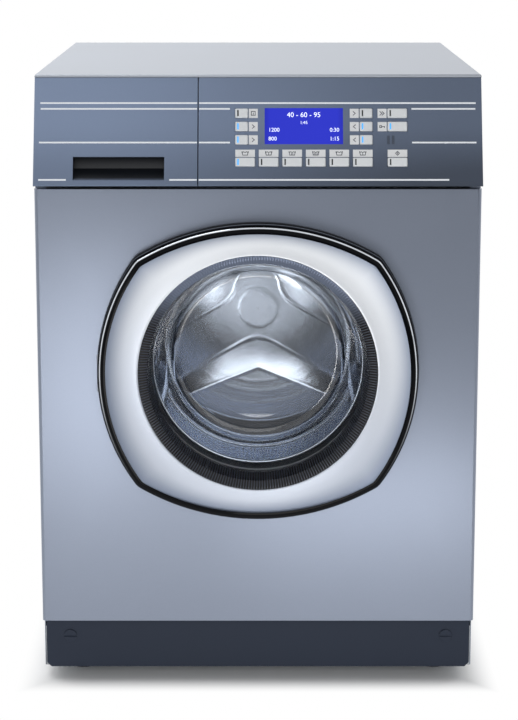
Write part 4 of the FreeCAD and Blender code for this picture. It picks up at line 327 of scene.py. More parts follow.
# Plain colours, and the stage in metres
WHITE = (1.0, 1.0, 1.0, 1.0)
PALE = (0.88, 0.89, 0.9, 1.0)
GLASS_TINT = (0.97, 0.985, 0.99, 1.0)
GLASS_SHADOW = (0.94, 0.96, 0.97, 1.0)
FILL_LIGHT = 0.22
FLOOR_SIZE = 30.0
FLOOR_HALF = 0.3
FLOOR_FADE = (-0.02, 0.038)
GLOSS_AHEAD = (0.7, 3.0)
GLOSS_ASIDE = (-0.6, 0.5)
GLOSS_LEFT = 0.7
GLOSS_LEVEL = 0.2
LENS = 96.03
SHIFT = (0.0014, -0.17)
CAMERA_AHEAD = 2.5427
CAMERA_Z = 1.0812
CAMERA_PITCH = 9.99

# Lamps: name, place, target, size, watts and whether gloss mirrors it
LAMPS = (("left_lamp", (-0.3, -1.2, 0.22), (-0.22, -0.3, 0.43), (0.24, 0.38), 1.3, True),
         ("low_lamp", (0.19, -0.95, 0.08), (0.14, -0.3, 0.26), (0.46, 0.14), 0.68, True),
         ("front_lamp", (0.5, -3.4, 1.4), (0.0, 0.0, 0.45), (2.0, 1.6), 22.0, False),
         ("top_lamp", (-0.9, 0.1, 2.3), (-0.1, 0.0, 0.5), (1.4, 1.4), 19.0, True),
         ("back_left_lamp", (-2.0, 1.3, 1.2), (0.0, 0.0, 0.45), (1.2, 1.2), 26.0, False),
         ("back_right_lamp", (2.0, 1.3, 1.2), (0.0, 0.0, 0.45), (1.2, 1.2), 26.0, False))


def tint(*levels):
    """A colour from its three 0 to 255 screen values."""
    shares = [level / 255 for level in levels]
    return tuple(share / 12.92 if share <= 0.04045 else ((share + 0.055) / 1.055) ** 2.4
                 for share in shares) + (1.0,)


def shaded(colour, share):
    return tuple(min(1.0, part * share) for part in colour[:3]) + (1.0,)


# Shader values

class Reading:
    """A shader value that Python sums work on; each sum adds a Math node."""

    def __init__(self, graph, socket):
        self.graph = graph
        self.socket = socket

    def worked(self, operation, *values):
        node = self.graph.node("ShaderNodeMath", {"operation": operation}, dict(enumerate(values)))
        return Reading(self.graph, node.outputs[0])

    def __add__(self, other):
        return self.worked("ADD", self, other)

    def __radd__(self, other):
        return self.worked("ADD", other, self)

    def __sub__(self, other):
        return self.worked("SUBTRACT", self, other)

    def __rsub__(self, other):
        return self.worked("SUBTRACT", other, self)

    def __mul__(self, other):
        return self.worked("MULTIPLY", self, other)

    def __rmul__(self, other):
        return self.worked("MULTIPLY", other, self)

    def __truediv__(self, other):
        return self.worked("DIVIDE", self, other)

    def __rtruediv__(self, other):
        return self.worked("DIVIDE", other, self)

    def root(self):
        return self.worked("SQRT", self)

    def part(self):
        """What is left over above the whole number below."""
        return self.worked("FLOORED_MODULO", self, 1.0)

    def larger(self, other):
        return self.worked("MAXIMUM", self, other)

    def smaller(self, other):
        return self.worked("MINIMUM", self, other)

    def away(self):
        return self.worked("ABSOLUTE", self)

    def angle(self, other):
        return self.worked("ARCTAN2", self, other)

    def rise(self, low, high):
        """0 below low, 1 above high, smooth between."""
        node = self.graph.node("ShaderNodeMapRange", {"interpolation_type": "SMOOTHSTEP"},
                               {0: self, 1: low, 2: high})
        return Reading(self.graph, node.outputs[0])

    def past(self, low, high):
        """The same rise between two lengths in millimetres."""
        return self.rise(low * MM, high * MM)


class Graph:
    """The nodes of one material or of the world."""

    def __init__(self, owner):
        owner.use_nodes = True
        self.tree = owner.node_tree
        self.tree.nodes.clear()

    def node(self, kind, settings=None, sockets=None):
        node = self.tree.nodes.new(kind)
        for name, value in (settings or {}).items():
            setattr(node, name, value)
        for name, value in (sockets or {}).items():
            self.feed(node.inputs[name], value)
        return node

    def feed(self, socket, value):
        if isinstance(value, Reading):
            value = value.socket
        if isinstance(value, bpy.types.NodeSocket):
            self.tree.links.new(value, socket)
        else:
            socket.default_value = value

    def seen(self):
        """1 for rays that show what is there: to the camera, in gloss and through glass."""
        path = self.node("ShaderNodeLightPath").outputs
        gloss = Reading(self, path["Is Glossy Ray"]).larger(path["Is Transmission Ray"])
        return gloss.larger(path["Is Camera Ray"])


class Finish(Graph):
    """One material, read from the piece's own Object coordinates."""

    def __init__(self, name):
        self.name = name
        self.material = bpy.data.materials.new(name)
        super().__init__(self.material)
        self.output = self.node("ShaderNodeOutputMaterial")
        self.shader = self.node("ShaderNodeBsdfPrincipled")
        self.place = self.node("ShaderNodeTexCoord").outputs["Object"]
        self.feed(self.output.inputs["Surface"], self.shader.outputs[0])

    def axes(self):
        node = self.node("ShaderNodeSeparateXYZ", sockets={0: self.place})
        return [Reading(self, socket) for socket in node.outputs]

    def noise(self, scale, detail=2.0, place=None):
        node = self.node("ShaderNodeTexNoise", sockets={"Vector": place or self.place, "Scale": scale,
                                                        "Detail": detail})
        return Reading(self, node.outputs[0])

    def cells(self, scale):
        """A steady random value in each cell."""
        node = self.node("ShaderNodeTexVoronoi", sockets={"Vector": self.place, "Scale": scale})
        parts = self.node("ShaderNodeSeparateXYZ", sockets={0: node.outputs["Color"]})
        return Reading(self, parts.outputs[0])

    def blend(self, share, first, second):
        node = self.node("ShaderNodeMix", {"data_type": "RGBA"}, {0: share, 6: first, 7: second})
        return node.outputs[2]

    def toned(self, colour, share, first, second):
        """A colour from one shade of itself to another."""
        return self.blend(share, shaded(colour, first), shaded(colour, second))

    def surface(self, colour, roughness, metallic=0.0, **others):
        others.update(Base_Color=colour, Roughness=roughness, Metallic=metallic)
        for name, value in others.items():
            self.feed(self.shader.inputs[name.replace("_", " ")], value)
        return self

    def relief(self, height, strength, distance):
        node = self.node("ShaderNodeBump", sockets={"Strength": strength, "Distance": distance * MM,
                                                    "Height": height})
        self.feed(self.shader.inputs["Normal"], node.outputs[0])
        return self

    def covered(self, share, other):
        """Another shader over the surface, by a share."""
        mixed = self.node("ShaderNodeMixShader", sockets={0: share, 1: self.shader.outputs[0],
                                                          2: other.outputs[0]})
        self.feed(self.output.inputs["Surface"], mixed.outputs[0])
        return self


# Finishes

def satin_metal(name, colour, roughness, metallic):
    """Silver finish with fine flakes and a broad unevenness."""
    made = Finish(name)
    flakes = made.noise(FLAKES, 1.0)
    cloud = made.noise(CLOUDS, 3.0)
    shade = made.toned(colour, flakes * 0.6 + cloud * 0.4, 0.9, 1.1)
    made.surface(shade, (flakes - 0.5) * 0.1 + (cloud - 0.5) * 0.06 + roughness, metallic)
    return made.relief(flakes, 0.05, 0.05)


def moulding(name, colour, roughness, grain=900, depth=0.15, **others):
    """Moulded plastic with a fine grain."""
    made = Finish(name)
    pores = made.noise(grain)
    cloud = made.noise(PORE_CLOUDS)
    shade = made.toned(colour, pores * 0.5 + cloud * 0.5, 0.88, 1.12)
    made.surface(shade, (pores - 0.5) * 0.2 + (cloud - 0.5) * 0.1 + roughness, **others)
    return made.relief(pores, depth, 0.1)


def fascia_painted_light(name, colour, grip_painted_shade):
    """Grey fascia with painted light, pale at the upper left and deep at the lower right, and painted
    shade darkening the pocket in the grip.
    """
    made = Finish(name)
    x, y, z = made.axes()
    up = z - FASCIA_Z
    flakes = made.noise(FLAKES, 1.0)
    cloud = made.noise(CLOUDS, 3.0)
    # painted light: paler to the left and higher up, deeper to the right and lower down
    aside = x.past(-FASCIA_PAINTED_LIGHT_X, FASCIA_PAINTED_LIGHT_X)
    low = 1 - up.past(0.0, FASCIA_PAINTED_LIGHT_H)
    shade = made.toned(colour, aside * 0.6 + low * 0.35 + flakes * 0.12 + cloud * 0.08, 2.0, 0.4)
    behind = (y - (PANEL_Y - FASCIA_PROUD * MM)) * cos(LEAN) - up * sin(LEAN)
    beside = (x - GRIP_X * MM).away().past(GRIP_HALF - GRIP_SOFT[0], GRIP_HALF)
    above = up.past(GRIP_TOP, GRIP_TOP + GRIP_SOFT[1])
    grip = behind.past(*GRIP_DEPTHS) * (1 - beside) * (1 - above)
    # painted shade in the grip's pocket, dark and less metallic
    shade = made.blend(grip, shade, grip_painted_shade)
    made.surface(shade, (flakes - 0.5) * 0.1 + (cloud - 0.5) * 0.06 + 0.4, 0.5 - grip * 0.5)
    return made.relief(flakes, 0.05, 0.05)


def door_satin_painted_light(name, low, high, edge):
    """Satin door face with painted light: bright round the opening, with painted shade deepening it
    towards its outline and its foot.
    """
    made = Finish(name)
    x, y, z = made.axes()
    up = z - AXIS_Z
    beside = x.away() + (SIDE_R - HALF_W) * MM
    above = up.away() + (TOP_R - HALF_H) * MM
    from_side = SIDE_R * MM - (beside * beside + up * up).root()
    from_top = TOP_R * MM - (above * above + x * x).root()
    from_edge = (from_side.smaller(from_top) - RIM_INNER * MM).larger(0.0)
    from_opening = ((x * x + up * up).root() - FACE_R * MM).larger(OPENING_EDGE * MM)
    flakes = made.noise(FLAKES, 1.0)
    # painted shade towards the outline, away from the opening
    painted_edge_shade = 1 - (from_edge / (from_edge + from_opening)).rise(*EDGE_PAINTED_SHADE)
    # painted light: darker low down, brighter high up
    painted_light_slant = up * FACE_LIGHT_SLANT[1] + x * FACE_LIGHT_SLANT[0]
    shade = made.blend(painted_edge_shade, made.blend(painted_light_slant.past(*FACE_LIGHT_FADE), low, high), edge)
    shade = made.blend(flakes * 0.12, shade, edge)
    made.surface(shade, (flakes - 0.5) * 0.1 + 0.32, 0.6)
    return made.relief(flakes, 0.04, 0.05)


def polished_painted_highlights(name, colour, painted_highlight):
    """Deep black gloss with faint wipe marks and two painted highlight lines round its flank, metallic
    and bright, faint below.
    """
    made = Finish(name)
    x, y, z = made.axes()
    wiped = made.node("ShaderNodeMapping", sockets={"Vector": made.place, "Scale": WIPE_SHAPE})
    marks = made.noise(WIPE_MARKS, 4.0, wiped.outputs[0])
    shade = made.toned(colour, marks, 0.8, 1.3)
    # painted highlights: two metallic lines round the flank, faded out low down
    lines = 0.0
    for depth, half, share in RIM_PAINTED_HIGHLIGHTS:
        lines = lines + (1 - (y - (PANEL_Y + depth * MM)).away().past(half / 2, half)) * share
    lines = lines * (z - AXIS_Z).past(*RIM_HIGHLIGHT_FADE) * (marks * 0.5 + 0.75)
    shade = made.blend(lines, shade, painted_highlight)
    return made.surface(shade, marks * 0.05 + 0.06, lines, Specular_IOR_Level=0.08)


def trim_gloss_painted_light(name, colour, rib, above):
    """Black glossy trim with a painted highlight on its rib tops and a painted reflection greying it
    towards the top of the opening.
    """
    made = Finish(name)
    x, y, z = made.axes()
    up = z - AXIS_Z
    grain = made.noise(TRIM_GRAIN)
    # painted highlight on the rib tops
    crest_painted_highlight = (x.angle(up) * (RIBS / (2 * pi)) - RIB_MIDDLE).part()
    crest_painted_highlight = 1 - (crest_painted_highlight - 0.5).away().rise(*CREST_HIGHLIGHT_EDGE)
    # painted reflection: grey and more metallic towards the top
    high = up.past(*TRIM_PAINTED_REFLECTION)
    shade = made.blend(high, made.blend(1 - crest_painted_highlight, colour, rib), above)
    shade = made.blend(grain * 0.3, shade, colour)
    made.surface(shade, grain * 0.05 + 0.07, high * 0.5, Specular_IOR_Level=0.28)
    return made.relief(grain, 0.05, 0.05)


def zinc(name, colour):
    """Zinc-plated sheet with its faint crystals."""
    made = Finish(name)
    crystals = made.cells(CRYSTALS)
    cloud = made.noise(ZINC_CLOUDS, 3.0)
    shade = made.toned(colour, crystals * 0.5 + cloud * 0.5, 0.8, 1.15)
    made.surface(shade, crystals * 0.12 + cloud * 0.1 + 0.28, 0.9)
    return made.relief(crystals, 0.08, 0.05)


def casting(name, colour, metallic):
    """Cast surface with pits."""
    made = Finish(name)
    pits = made.noise(PITS, 4.0)
    cloud = made.noise(PIT_CLOUDS, 3.0)
    shade = made.toned(colour, pits * 0.6 + cloud * 0.4, 0.75, 1.2)
    made.surface(shade, pits * 0.25 + 0.38, metallic)
    return made.relief(pits, 0.4, 0.2)


def rubber(name, colour):
    """Matt rubber with a bloom in broad patches."""
    made = Finish(name)
    skin = made.noise(SKIN, 3.0)
    bloom = made.noise(BLOOM, 4.0)
    shade = made.toned(colour, bloom * 0.7 + skin * 0.3, 0.8, 1.3)
    made.surface(shade, bloom * 0.15 + skin * 0.1 + 0.45, Specular_IOR_Level=0.25)
    return made.relief(skin, 0.2, 0.1)


def drum_steel(name, colour, dark):
    """Stainless sheet, brushed round the axis, with rows of small drain holes in the wall, drawn as dark
    matt spots of painted shade.
    """
    made = Finish(name)
    x, y, z = made.axes()
    up = z - AXIS_Z
    radius = (x * x + up * up).root()
    turn = x.angle(up)
    strands = [value * scale for value, scale in zip((radius, y, turn), BRUSH)]
    place = made.node("ShaderNodeCombineXYZ", sockets=dict(enumerate(strands)))
    brush = made.noise(1.0, 3.0, place.outputs[0])
    squares = []
    for shift in (0.0, 0.5):
        across = (turn * (DRUM_R / HOLE_PITCH) + shift).part() - 0.5
        along = (y * (1 / (HOLE_PITCH * MM)) + shift).part() - 0.5
        squares.append(across * across + along * along)
    nearest = squares[0].smaller(squares[1]).root()
    on_wall = radius.past(DRUM_R - HOLE_WALL[0], DRUM_R - HOLE_WALL[1])
    # the drain holes are painted shade: dark, matt, not metallic
    hole_painted_shade = (1 - nearest.rise(*HOLE_EDGE)) * on_wall
    rim = (1 - nearest.rise(*HOLE_RIM)) * on_wall
    shade = made.blend(hole_painted_shade, made.toned(colour, brush, 0.86, 1.1), dark)
    made.surface(shade, brush * 0.1 + 0.17 + hole_painted_shade * 0.4, 0.97 - hole_painted_shade * 0.97)
    return made.relief(brush * 0.015 - rim * 0.5, 0.15, 0.3)


def clear_glass(name):
    """Moulded glass that lets lamp light through."""
    made = Finish(name)
    ripple = made.noise(RIPPLE)
    made.surface(GLASS_TINT, ripple * 0.012, Transmission_Weight=1.0, IOR=1.46, Specular_IOR_Level=0.3)
    made.relief(ripple, 0.05, 0.4)
    path = made.node("ShaderNodeLightPath").outputs
    passing = made.node("ShaderNodeBsdfTransparent", sockets={"Color": GLASS_SHADOW})
    return made.covered(path["Is Shadow Ray"], passing)


def display_lens(name):
    """Blue display behind its lens, and the dark optical windows beside it."""
    made = Finish(name)
    x, y, z = made.axes()
    lit = 1 - (x - (DISPLAY_X + DISPLAY_W) * MM).past(1.0, 2.0)
    from_middle = (x - (DISPLAY_X + DISPLAY_W / 2) * MM).away()
    edge = from_middle.past(DISPLAY_W / 2 - DISPLAY_EDGE, DISPLAY_W / 2)
    pixels = made.noise(PIXELS, 1.0)
    glow = made.blend(edge * 0.5 + (pixels - 0.5) * 0.2, tint(50, 60, 222), tint(38, 44, 184))
    glow = made.blend(lit, tint(4, 4, 6), glow)
    base = made.blend(lit, tint(84, 92, 106), tint(8, 10, 36))
    return made.surface(base, pixels * 0.05 + 0.12, Emission_Color=glow, Emission_Strength=0.8,
                        Specular_IOR_Level=0.1)


def glowing(name, colour, strength):
    """Printed or lit ink with a little unevenness, glowing by a strength; on the white print the glow is
    painted light.
    """
    made = Finish(name)
    grain = made.noise(INK, 1.0)
    shade = made.toned(colour, grain, 0.9, 1.08)
    return made.surface(shade, grain * 0.1 + 0.35, Emission_Color=shade, Emission_Strength=strength)


FINISHES = {made.name: made for made in (
    satin_metal("cabinet_paint", tint(138, 147, 162), 0.4, 0.5),
    satin_metal("cover_paint", tint(184, 190, 200), 0.42, 0.25),
    satin_metal("front_steel", tint(138, 146, 162), 0.34, 0.65),
    # the second colour is the painted shade in the grip's pocket
    fascia_painted_light("fascia_grey", tint(97, 109, 130), tint(24, 27, 33)),
    moulding("plinth_grey", tint(43, 50, 64), 0.5, Specular_IOR_Level=0.2),
    moulding("key_silver", tint(240, 244, 251), 0.4, 1400, 0.05),
    moulding("label_white", tint(244, 247, 252), 0.5, 1400, 0.05),
    display_lens("display_lens"),
    moulding("board_green", tint(30, 70, 50), 0.4, 300),
    moulding("tray_white", tint(225, 228, 232), 0.3, 700, 0.05),
    # lower and upper painted light, then the painted shade at the outline
    door_satin_painted_light("door_silver", tint(186, 192, 203), tint(246, 249, 253), tint(114, 125, 146)),
    # the second colour is the painted highlight of the flank lines
    polished_painted_highlights("rim_black", tint(7, 8, 12), tint(225, 230, 238)),
    moulding("frame_black", tint(18, 19, 22), 0.5, Specular_IOR_Level=0.2),
    clear_glass("bowl_glass"),
    # the rib tops' painted highlight, then the painted reflection at the top
    trim_gloss_painted_light("trim_black", tint(4, 4, 6), tint(52, 57, 70), tint(104, 113, 132)),
    rubber("gasket_rubber", tint(22, 24, 29)),
    # the second colour is the painted shade of the drain holes
    drum_steel("stainless", tint(186, 193, 206), tint(22, 23, 26)),
    satin_metal("lifter_grey", tint(190, 200, 218), 0.26, 0.85),
    moulding("tub_grey", tint(150, 154, 158), 0.5, 500),
    zinc("zinc_steel", tint(168, 172, 176)),
    casting("cast_aluminium", tint(175, 178, 182), 0.9),
    casting("weight_iron", tint(70, 72, 75), 0.1),
    rubber("belt_rubber", tint(24, 24, 26)),
    moulding("foot_black", tint(28, 28, 30), 0.55),
)}
# the white print glows a little though it is no lamp: painted light
GLOWING_WHITE_PRINT = glowing("white_print_glowing", tint(238, 242, 248), 0.15)
DARK_PRINT = glowing("dark_print", tint(64, 70, 82), 0.0)
DISPLAY_PRINT = glowing("display_print", tint(226, 232, 255), 0.9)
LIT_LAMP = glowing("lit_lamp", tint(62, 160, 236), 0.9)
DARK_LAMP = glowing("dark_lamp", tint(24, 27, 32), 0.0)


# Modelling

def alone(*pieces):
    """Object mode with only these pieces selected, the first of them active."""
    if bpy.context.mode != "OBJECT":
        bpy.ops.object.mode_set(mode="OBJECT")
    bpy.ops.object.select_all(action="DESELECT")
    for piece in reversed(pieces):
        piece.select_set(True)
        bpy.context.view_layer.objects.active = piece


def seated(piece):
    """Puts a piece's place into its mesh."""
    alone(piece)
    bpy.ops.object.transform_apply()
    return piece


def copied(piece):
    alone(piece)
    bpy.ops.object.duplicate()
    return bpy.context.object


def joined(pieces):
    alone(*pieces)
    bpy.ops.object.join()
    return bpy.context.object


def edit(piece):
    alone(piece)
    bpy.ops.object.mode_set(mode="EDIT")
    bpy.ops.mesh.select_all(action="SELECT")


def closed_up(piece):
    """Merges doubles, turns the faces outwards and shades by angle."""
    edit(piece)
    bpy.ops.mesh.remove_doubles(threshold=MERGE * MM)
    bpy.ops.mesh.normals_make_consistent()
    bpy.ops.object.mode_set(mode="OBJECT")
    bpy.ops.object.shade_smooth_by_angle(angle=SMOOTH_ANGLE)
    return piece


def painted(piece, name, slot, *nodes, finish=None):
    """Names a piece, gives it its slot's finish or another, and lets it stand for its nodes."""
    piece.name = name
    piece.data.name = name
    piece.data.materials.clear()
    piece.data.materials.append((finish or FINISHES[slot]).material)
    if nodes:
        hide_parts(*nodes)
    return piece


def finished(piece, name, body, slot, *nodes, finish=None):
    """Paints a piece and sets it on its body."""
    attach(painted(piece, name, slot, *nodes, finish=finish), body)


def block(x, y, z):
    """A box over three spans in millimetres."""
    alone()
    bpy.ops.mesh.primitive_cube_add(size=1.0)
    piece = bpy.context.object
    piece.scale = [(high - low) * MM for low, high in (x, y, z)]
    piece.location = [(low + high) / 2 * MM for low, high in (x, y, z)]
    return seated(piece)


def cut_by(piece, tool):
    alone(piece)
    change = piece.modifiers.new("cut", "BOOLEAN")
    change.object = tool
    bpy.ops.object.modifier_apply(modifier=change.name)
    bpy.data.objects.remove(tool)
    bpy.ops.object.shade_smooth_by_angle(angle=SMOOTH_ANGLE)


def rounded(point):
    return tuple(round(part, 6) for part in point)


def banded(rings, shut):
    """A skin through rings of points: a circle is extruded ring by ring and laid on each.
    With shut, the last ring meets the first; otherwise it is filled."""
    alone()
    count = len(rings[0])
    bpy.ops.mesh.primitive_circle_add(vertices=count)
    piece = bpy.context.object
    for vertex, point in zip(piece.data.vertices, rings[0]):
        vertex.co = point
    edit(piece)
    for before, after in zip(rings, rings[1:] + (rings[:1] if shut else [])):
        bpy.ops.mesh.extrude_edges_move()
        mesh = bmesh.from_edit_mesh(piece.data)
        moved = {rounded(old): new for old, new in zip(before, after)}
        mesh.verts.ensure_lookup_table()
        for vertex in mesh.verts[-count:]:
            vertex.co = moved[rounded(vertex.co)]
        bmesh.update_edit_mesh(piece.data)
    if not shut:
        bpy.ops.mesh.edge_face_add()
    return closed_up(piece)


def spot(x, depth, up):
    """A point from x, a depth and a height over the drum's axis, in millimetres."""
    return Vector((x * MM, PANEL_Y + depth * MM, AXIS_Z + up * MM))


def turned(radius, depth, turn):
    """A point round the drum's axis, turned from straight up."""
    return spot(radius * sin(turn), depth, radius * cos(turn))


def turns(count):
    return [2 * pi * step / count for step in range(count)]


def circle(radius, depth, count):
    return [turned(radius, depth, turn) for turn in turns(count)]


def arc(centre, radius, start, end, steps):
    """Points of radius and depth round a centre, from one angle to another in degrees."""
    points = []
    for step in range(steps + 1):
        angle = radians(start + (end - start) * step / steps)
        points.append((centre[0] + radius * cos(angle), centre[1] + radius * sin(angle)))
    return points


def ribbed(path):
    """A ring along a path of (radius, depth, out, forward), ribbed where out or forward isn't 0."""
    rings = []
    for radius, depth, out, forward in path:
        ring = []
        for step, turn in enumerate(turns(RIBS * RIB_POINTS)):
            proud = step % RIB_POINTS in RIB_PROUD
            ring.append(turned(radius + out * proud, depth + forward * proud, turn))
        rings.append(ring)
    return banded(rings, True)


# Door

def door_stations():
    """Centre, radius and angle of evenly spread points round a quarter of the door's outline."""
    side_c = HALF_W - SIDE_R
    top_c = HALF_H - TOP_R
    reach_side = SIDE_R - CORNER_R
    reach_top = TOP_R - CORNER_R
    span = hypot(side_c, top_c)
    along = (reach_side ** 2 - reach_top ** 2 + span ** 2) / (2 * span)
    off = sqrt(reach_side ** 2 - along ** 2)
    corner_x = side_c - along * side_c / span - off * top_c / span
    corner_z = along * top_c / span - off * side_c / span
    side_turn = atan2(corner_z, corner_x - side_c)
    top_turn = atan2(corner_z - top_c, corner_x)
    top = pi / 2
    quarter = []
    for centre, radius, start, end, steps in (
            ((side_c, 0.0), SIDE_R, 0.0, side_turn, ARC_STEPS),
            ((corner_x, corner_z), CORNER_R, side_turn, top_turn, CORNER_STEPS),
            ((0.0, top_c), TOP_R, top_turn, top, ARC_STEPS)):
        quarter += [(centre, radius, start + (end - start) * step / steps) for step in range(steps)]
    return quarter + [((0.0, top_c), TOP_R, top)]


def outline(inset):
    """Points (x, z) of the door's outline, drawn in by an even inset."""
    quarter = []
    for centre, radius, turn in door_stations():
        reach = radius - inset
        quarter.append((centre[0] + reach * cos(turn), centre[1] + reach * sin(turn)))
    half = quarter + [(-x, z) for x, z in quarter[-2::-1]]
    return half + [(x, -z) for x, z in half[-2:0:-1]]


def outline_ring(inset, depth):
    return [spot(x, depth, z) for x, z in outline(inset)]


def dish_depth(radius):
    """Depth of the door face at a distance from the drum axis, on an arc from the opening outwards."""
    half = (DISH_R - FACE_R) / 2
    bow = FACE_RISE * FACE_BOW
    centre_d = (bow ** 2 - half ** 2 - FACE_RISE ** 2 / 2) / (2 * bow - FACE_RISE)
    centre_r = FACE_RISE * (2 * centre_d - FACE_RISE) / (4 * half)
    along = max(-half, min(radius - FACE_R - half, half)) - centre_r
    reach = hypot(half - centre_r, centre_d)
    return FACE_FRONT + centre_d + sqrt(reach ** 2 - along ** 2)


def door_rim():
    """Polished ring with a rounded flank and a notch for the hinge."""
    section = [(RIM_OUTER, DOOR_MID)]
    section += arc((RIM_OUTER + RIM_ROUND, DOOR_FRONT + RIM_ROUND), RIM_ROUND, 180, 270, 14)
    section += arc((RIM_INNER - RIM_EDGE, DOOR_FRONT + RIM_EDGE), RIM_EDGE, 285, 360, 4)
    section.append((RIM_INNER, DOOR_MID))
    ring = banded([outline_ring(inset, depth) for inset, depth in section], True)
    notch_y = [PANEL_Y / MM + depth for depth in NOTCH_D]
    notch_z = (AXIS_Z / MM - NOTCH_HALF, AXIS_Z / MM + NOTCH_HALF)
    cut_by(ring, block(NOTCH_X, notch_y, notch_z))
    finished(ring, "door_rim_polished", "door", "rim_black", "door_rim")


def drawn_to(point, radius, depth):
    """A point (x, z) moved along its own direction to a radius."""
    share = radius / hypot(*point)
    return spot(point[0] * share, depth, point[1] * share)


def door_face():
    """Satin ring from the four-arc outline to the round opening, dished towards the opening."""
    outer = RIM_INNER + FACE_GAP
    edge = outline(outer + FACE_EDGE)
    rings = [outline_ring(outer, DOOR_MID),
             [spot(x, dish_depth(hypot(x, z)) + FACE_EDGE, z) for x, z in outline(outer)]]
    for band in range(FACE_BANDS + 1):
        ring = []
        for point in edge:
            reach = hypot(*point)
            radius = reach + (FACE_R + FACE_LIP - reach) * band / FACE_BANDS
            ring.append(drawn_to(point, radius, dish_depth(radius)))
        rings.append(ring)
    section = [(FACE_R + out, dish_depth(FACE_R) + back) for out, back in FACE_ROUND]
    section += [(FACE_R, FLANGE_D), (FLANGE_R + FLANGE_GAP, FLANGE_D), (FLANGE_R + FLANGE_GAP, DOOR_MID)]
    rings += [[drawn_to(point, radius, depth) for point in edge] for radius, depth in section]
    finished(banded(rings, True), "door_face_satin", "door", "door_silver", "door_bezel")


def door_glass():
    """Clear bowl with a flange, rounded where its cone meets the flat end."""
    middle = (BOWL_END_R - BOWL_ROUND, BOWL_DEPTH - BOWL_ROUND)
    inner_r = BOWL_R - GLASS_T
    profile = [(middle[0] * share, BOWL_DEPTH - GLASS_T) for share in BOWL_END_ROWS]
    profile += arc(middle, BOWL_ROUND - GLASS_T, 90, 0, 10)
    profile += [(inner_r, FLANGE_D + BOWL_FILLET), (inner_r + FILLET_MID, FLANGE_D + FILLET_MID),
                (inner_r + BOWL_FILLET, FLANGE_D), (FLANGE_R, FLANGE_D), (FLANGE_R, DOOR_MID),
                (BOWL_R + BOWL_FOOT, DOOR_MID), (BOWL_R, DOOR_MID + BOWL_FOOT)]
    profile += arc(middle, BOWL_ROUND, 0, 90, 12)
    profile += [(middle[0] * share, BOWL_DEPTH) for share in reversed(BOWL_END_ROWS)]
    bowl = banded([circle(radius, depth, BOWL_POINTS) for radius, depth in profile], False)
    edit(bowl)
    bpy.ops.mesh.select_all(action="DESELECT")
    bpy.ops.mesh.select_mode(type="EDGE")
    bpy.ops.mesh.select_non_manifold()
    bpy.ops.mesh.edge_face_add()
    finished(closed_up(bowl), "door_bowl_clear", "door", "bowl_glass", "door_glass")


def door_trim():
    """Black ring of fine radial ribs between the door face and the glass."""
    path = [TRIM_FRONT + PLAIN, TRIM_EDGE + CONE_RIB, TRIM_BEND + CONE_RIB, TRIM_SKIRT + SKIRT_RIB,
            TRIM_END + SKIRT_RIB] + [place + PLAIN for place in TRIM_BACK]
    finished(ribbed(path), "door_trim_ribbed", "door", "rim_black", finish=FINISHES["trim_black"])


def gasket_ribs():
    """Ring of fine radial ribs on the gasket's lip, behind the edge of the glass."""
    path = []
    for radius, lift, height in ((RIB_IN_R, 0.0, 0.0), (RIB_IN_R + RIB_EDGE, RIB_BASE, RIB_H),
                                 (RIB_OUT_R - RIB_EDGE, RIB_BASE, RIB_H), (RIB_OUT_R, 0.0, 0.0)):
        face = LIP_IN_D + (LIP_OUT_D - LIP_IN_D) * (radius - LIP_IN_R) / (LIP_OUT_R - LIP_IN_R)
        path.append((radius, face - lift, 0.0, -height))
    finished(ribbed(path), "gasket_rib_ring", BODIES["door_gasket"], "gasket_rubber")


# Drum

def star(radius, turn):
    """How far a point lies inside the star pressed in the drum's back, from 0 beside it to 1 on its three
    flat arms, and the beads along the folds."""
    shares = []
    for arm in range(STAR_ARMS):
        aside = (turn - 2 * pi * arm / STAR_ARMS + pi) % (2 * pi) - pi
        along = max(0.0, radius * cos(aside))
        off = abs(radius * sin(aside)) if along else radius
        foot = STAR_FOOT - STAR_TAPER * along
        shares.append((foot - off) / (foot - STAR_TOP))
    blended = sum(max(0.0, share) ** STAR_BLEND for share in shares) ** (1 / STAR_BLEND)
    width = STAR_FOOT - STAR_TOP
    bead = max(fold((blended - 1) * width), fold(max(shares) * width))
    return min(1.0, blended), bead * smooth((STAR_R - radius) / STAR_RUN)


def fold(distance):
    """Section of a bead, 1 on its line and 0 beside it."""
    return smooth(1 - abs(distance) / BEAD_HALF)


def smooth(share):
    """0 to 1 with soft ends."""
    share = max(0.0, min(1.0, share))
    return share * share * (3 - 2 * share)


def drum_back_ring(radius, lift):
    """A ring of the back wall: dished bulges between the arms of the star, and the hub."""
    ring = []
    bulge = BULGE_H * min(1.0, (BACK_R - radius) / (BACK_R - BULGE_R))
    bulge -= BULGE_DISH * max(0.0, 1 - radius / BULGE_R)
    bulge += RING_H * max(fold(radius - place) for place in BACK_RINGS)
    arm = STAR_LEVEL * smooth((STAR_R - radius) / STAR_RUN)
    hub = HUB_H * smooth((HUB_R + HUB_EDGE - radius) / HUB_EDGE)
    for turn in turns(DRUM_POINTS):
        inside, bead = star(radius, turn)
        forward = bulge * (1 - inside) + arm * inside + BEAD_H * bead + hub
        ring.append(turned(radius, DRUM_BACK - forward - lift, turn))
    return ring


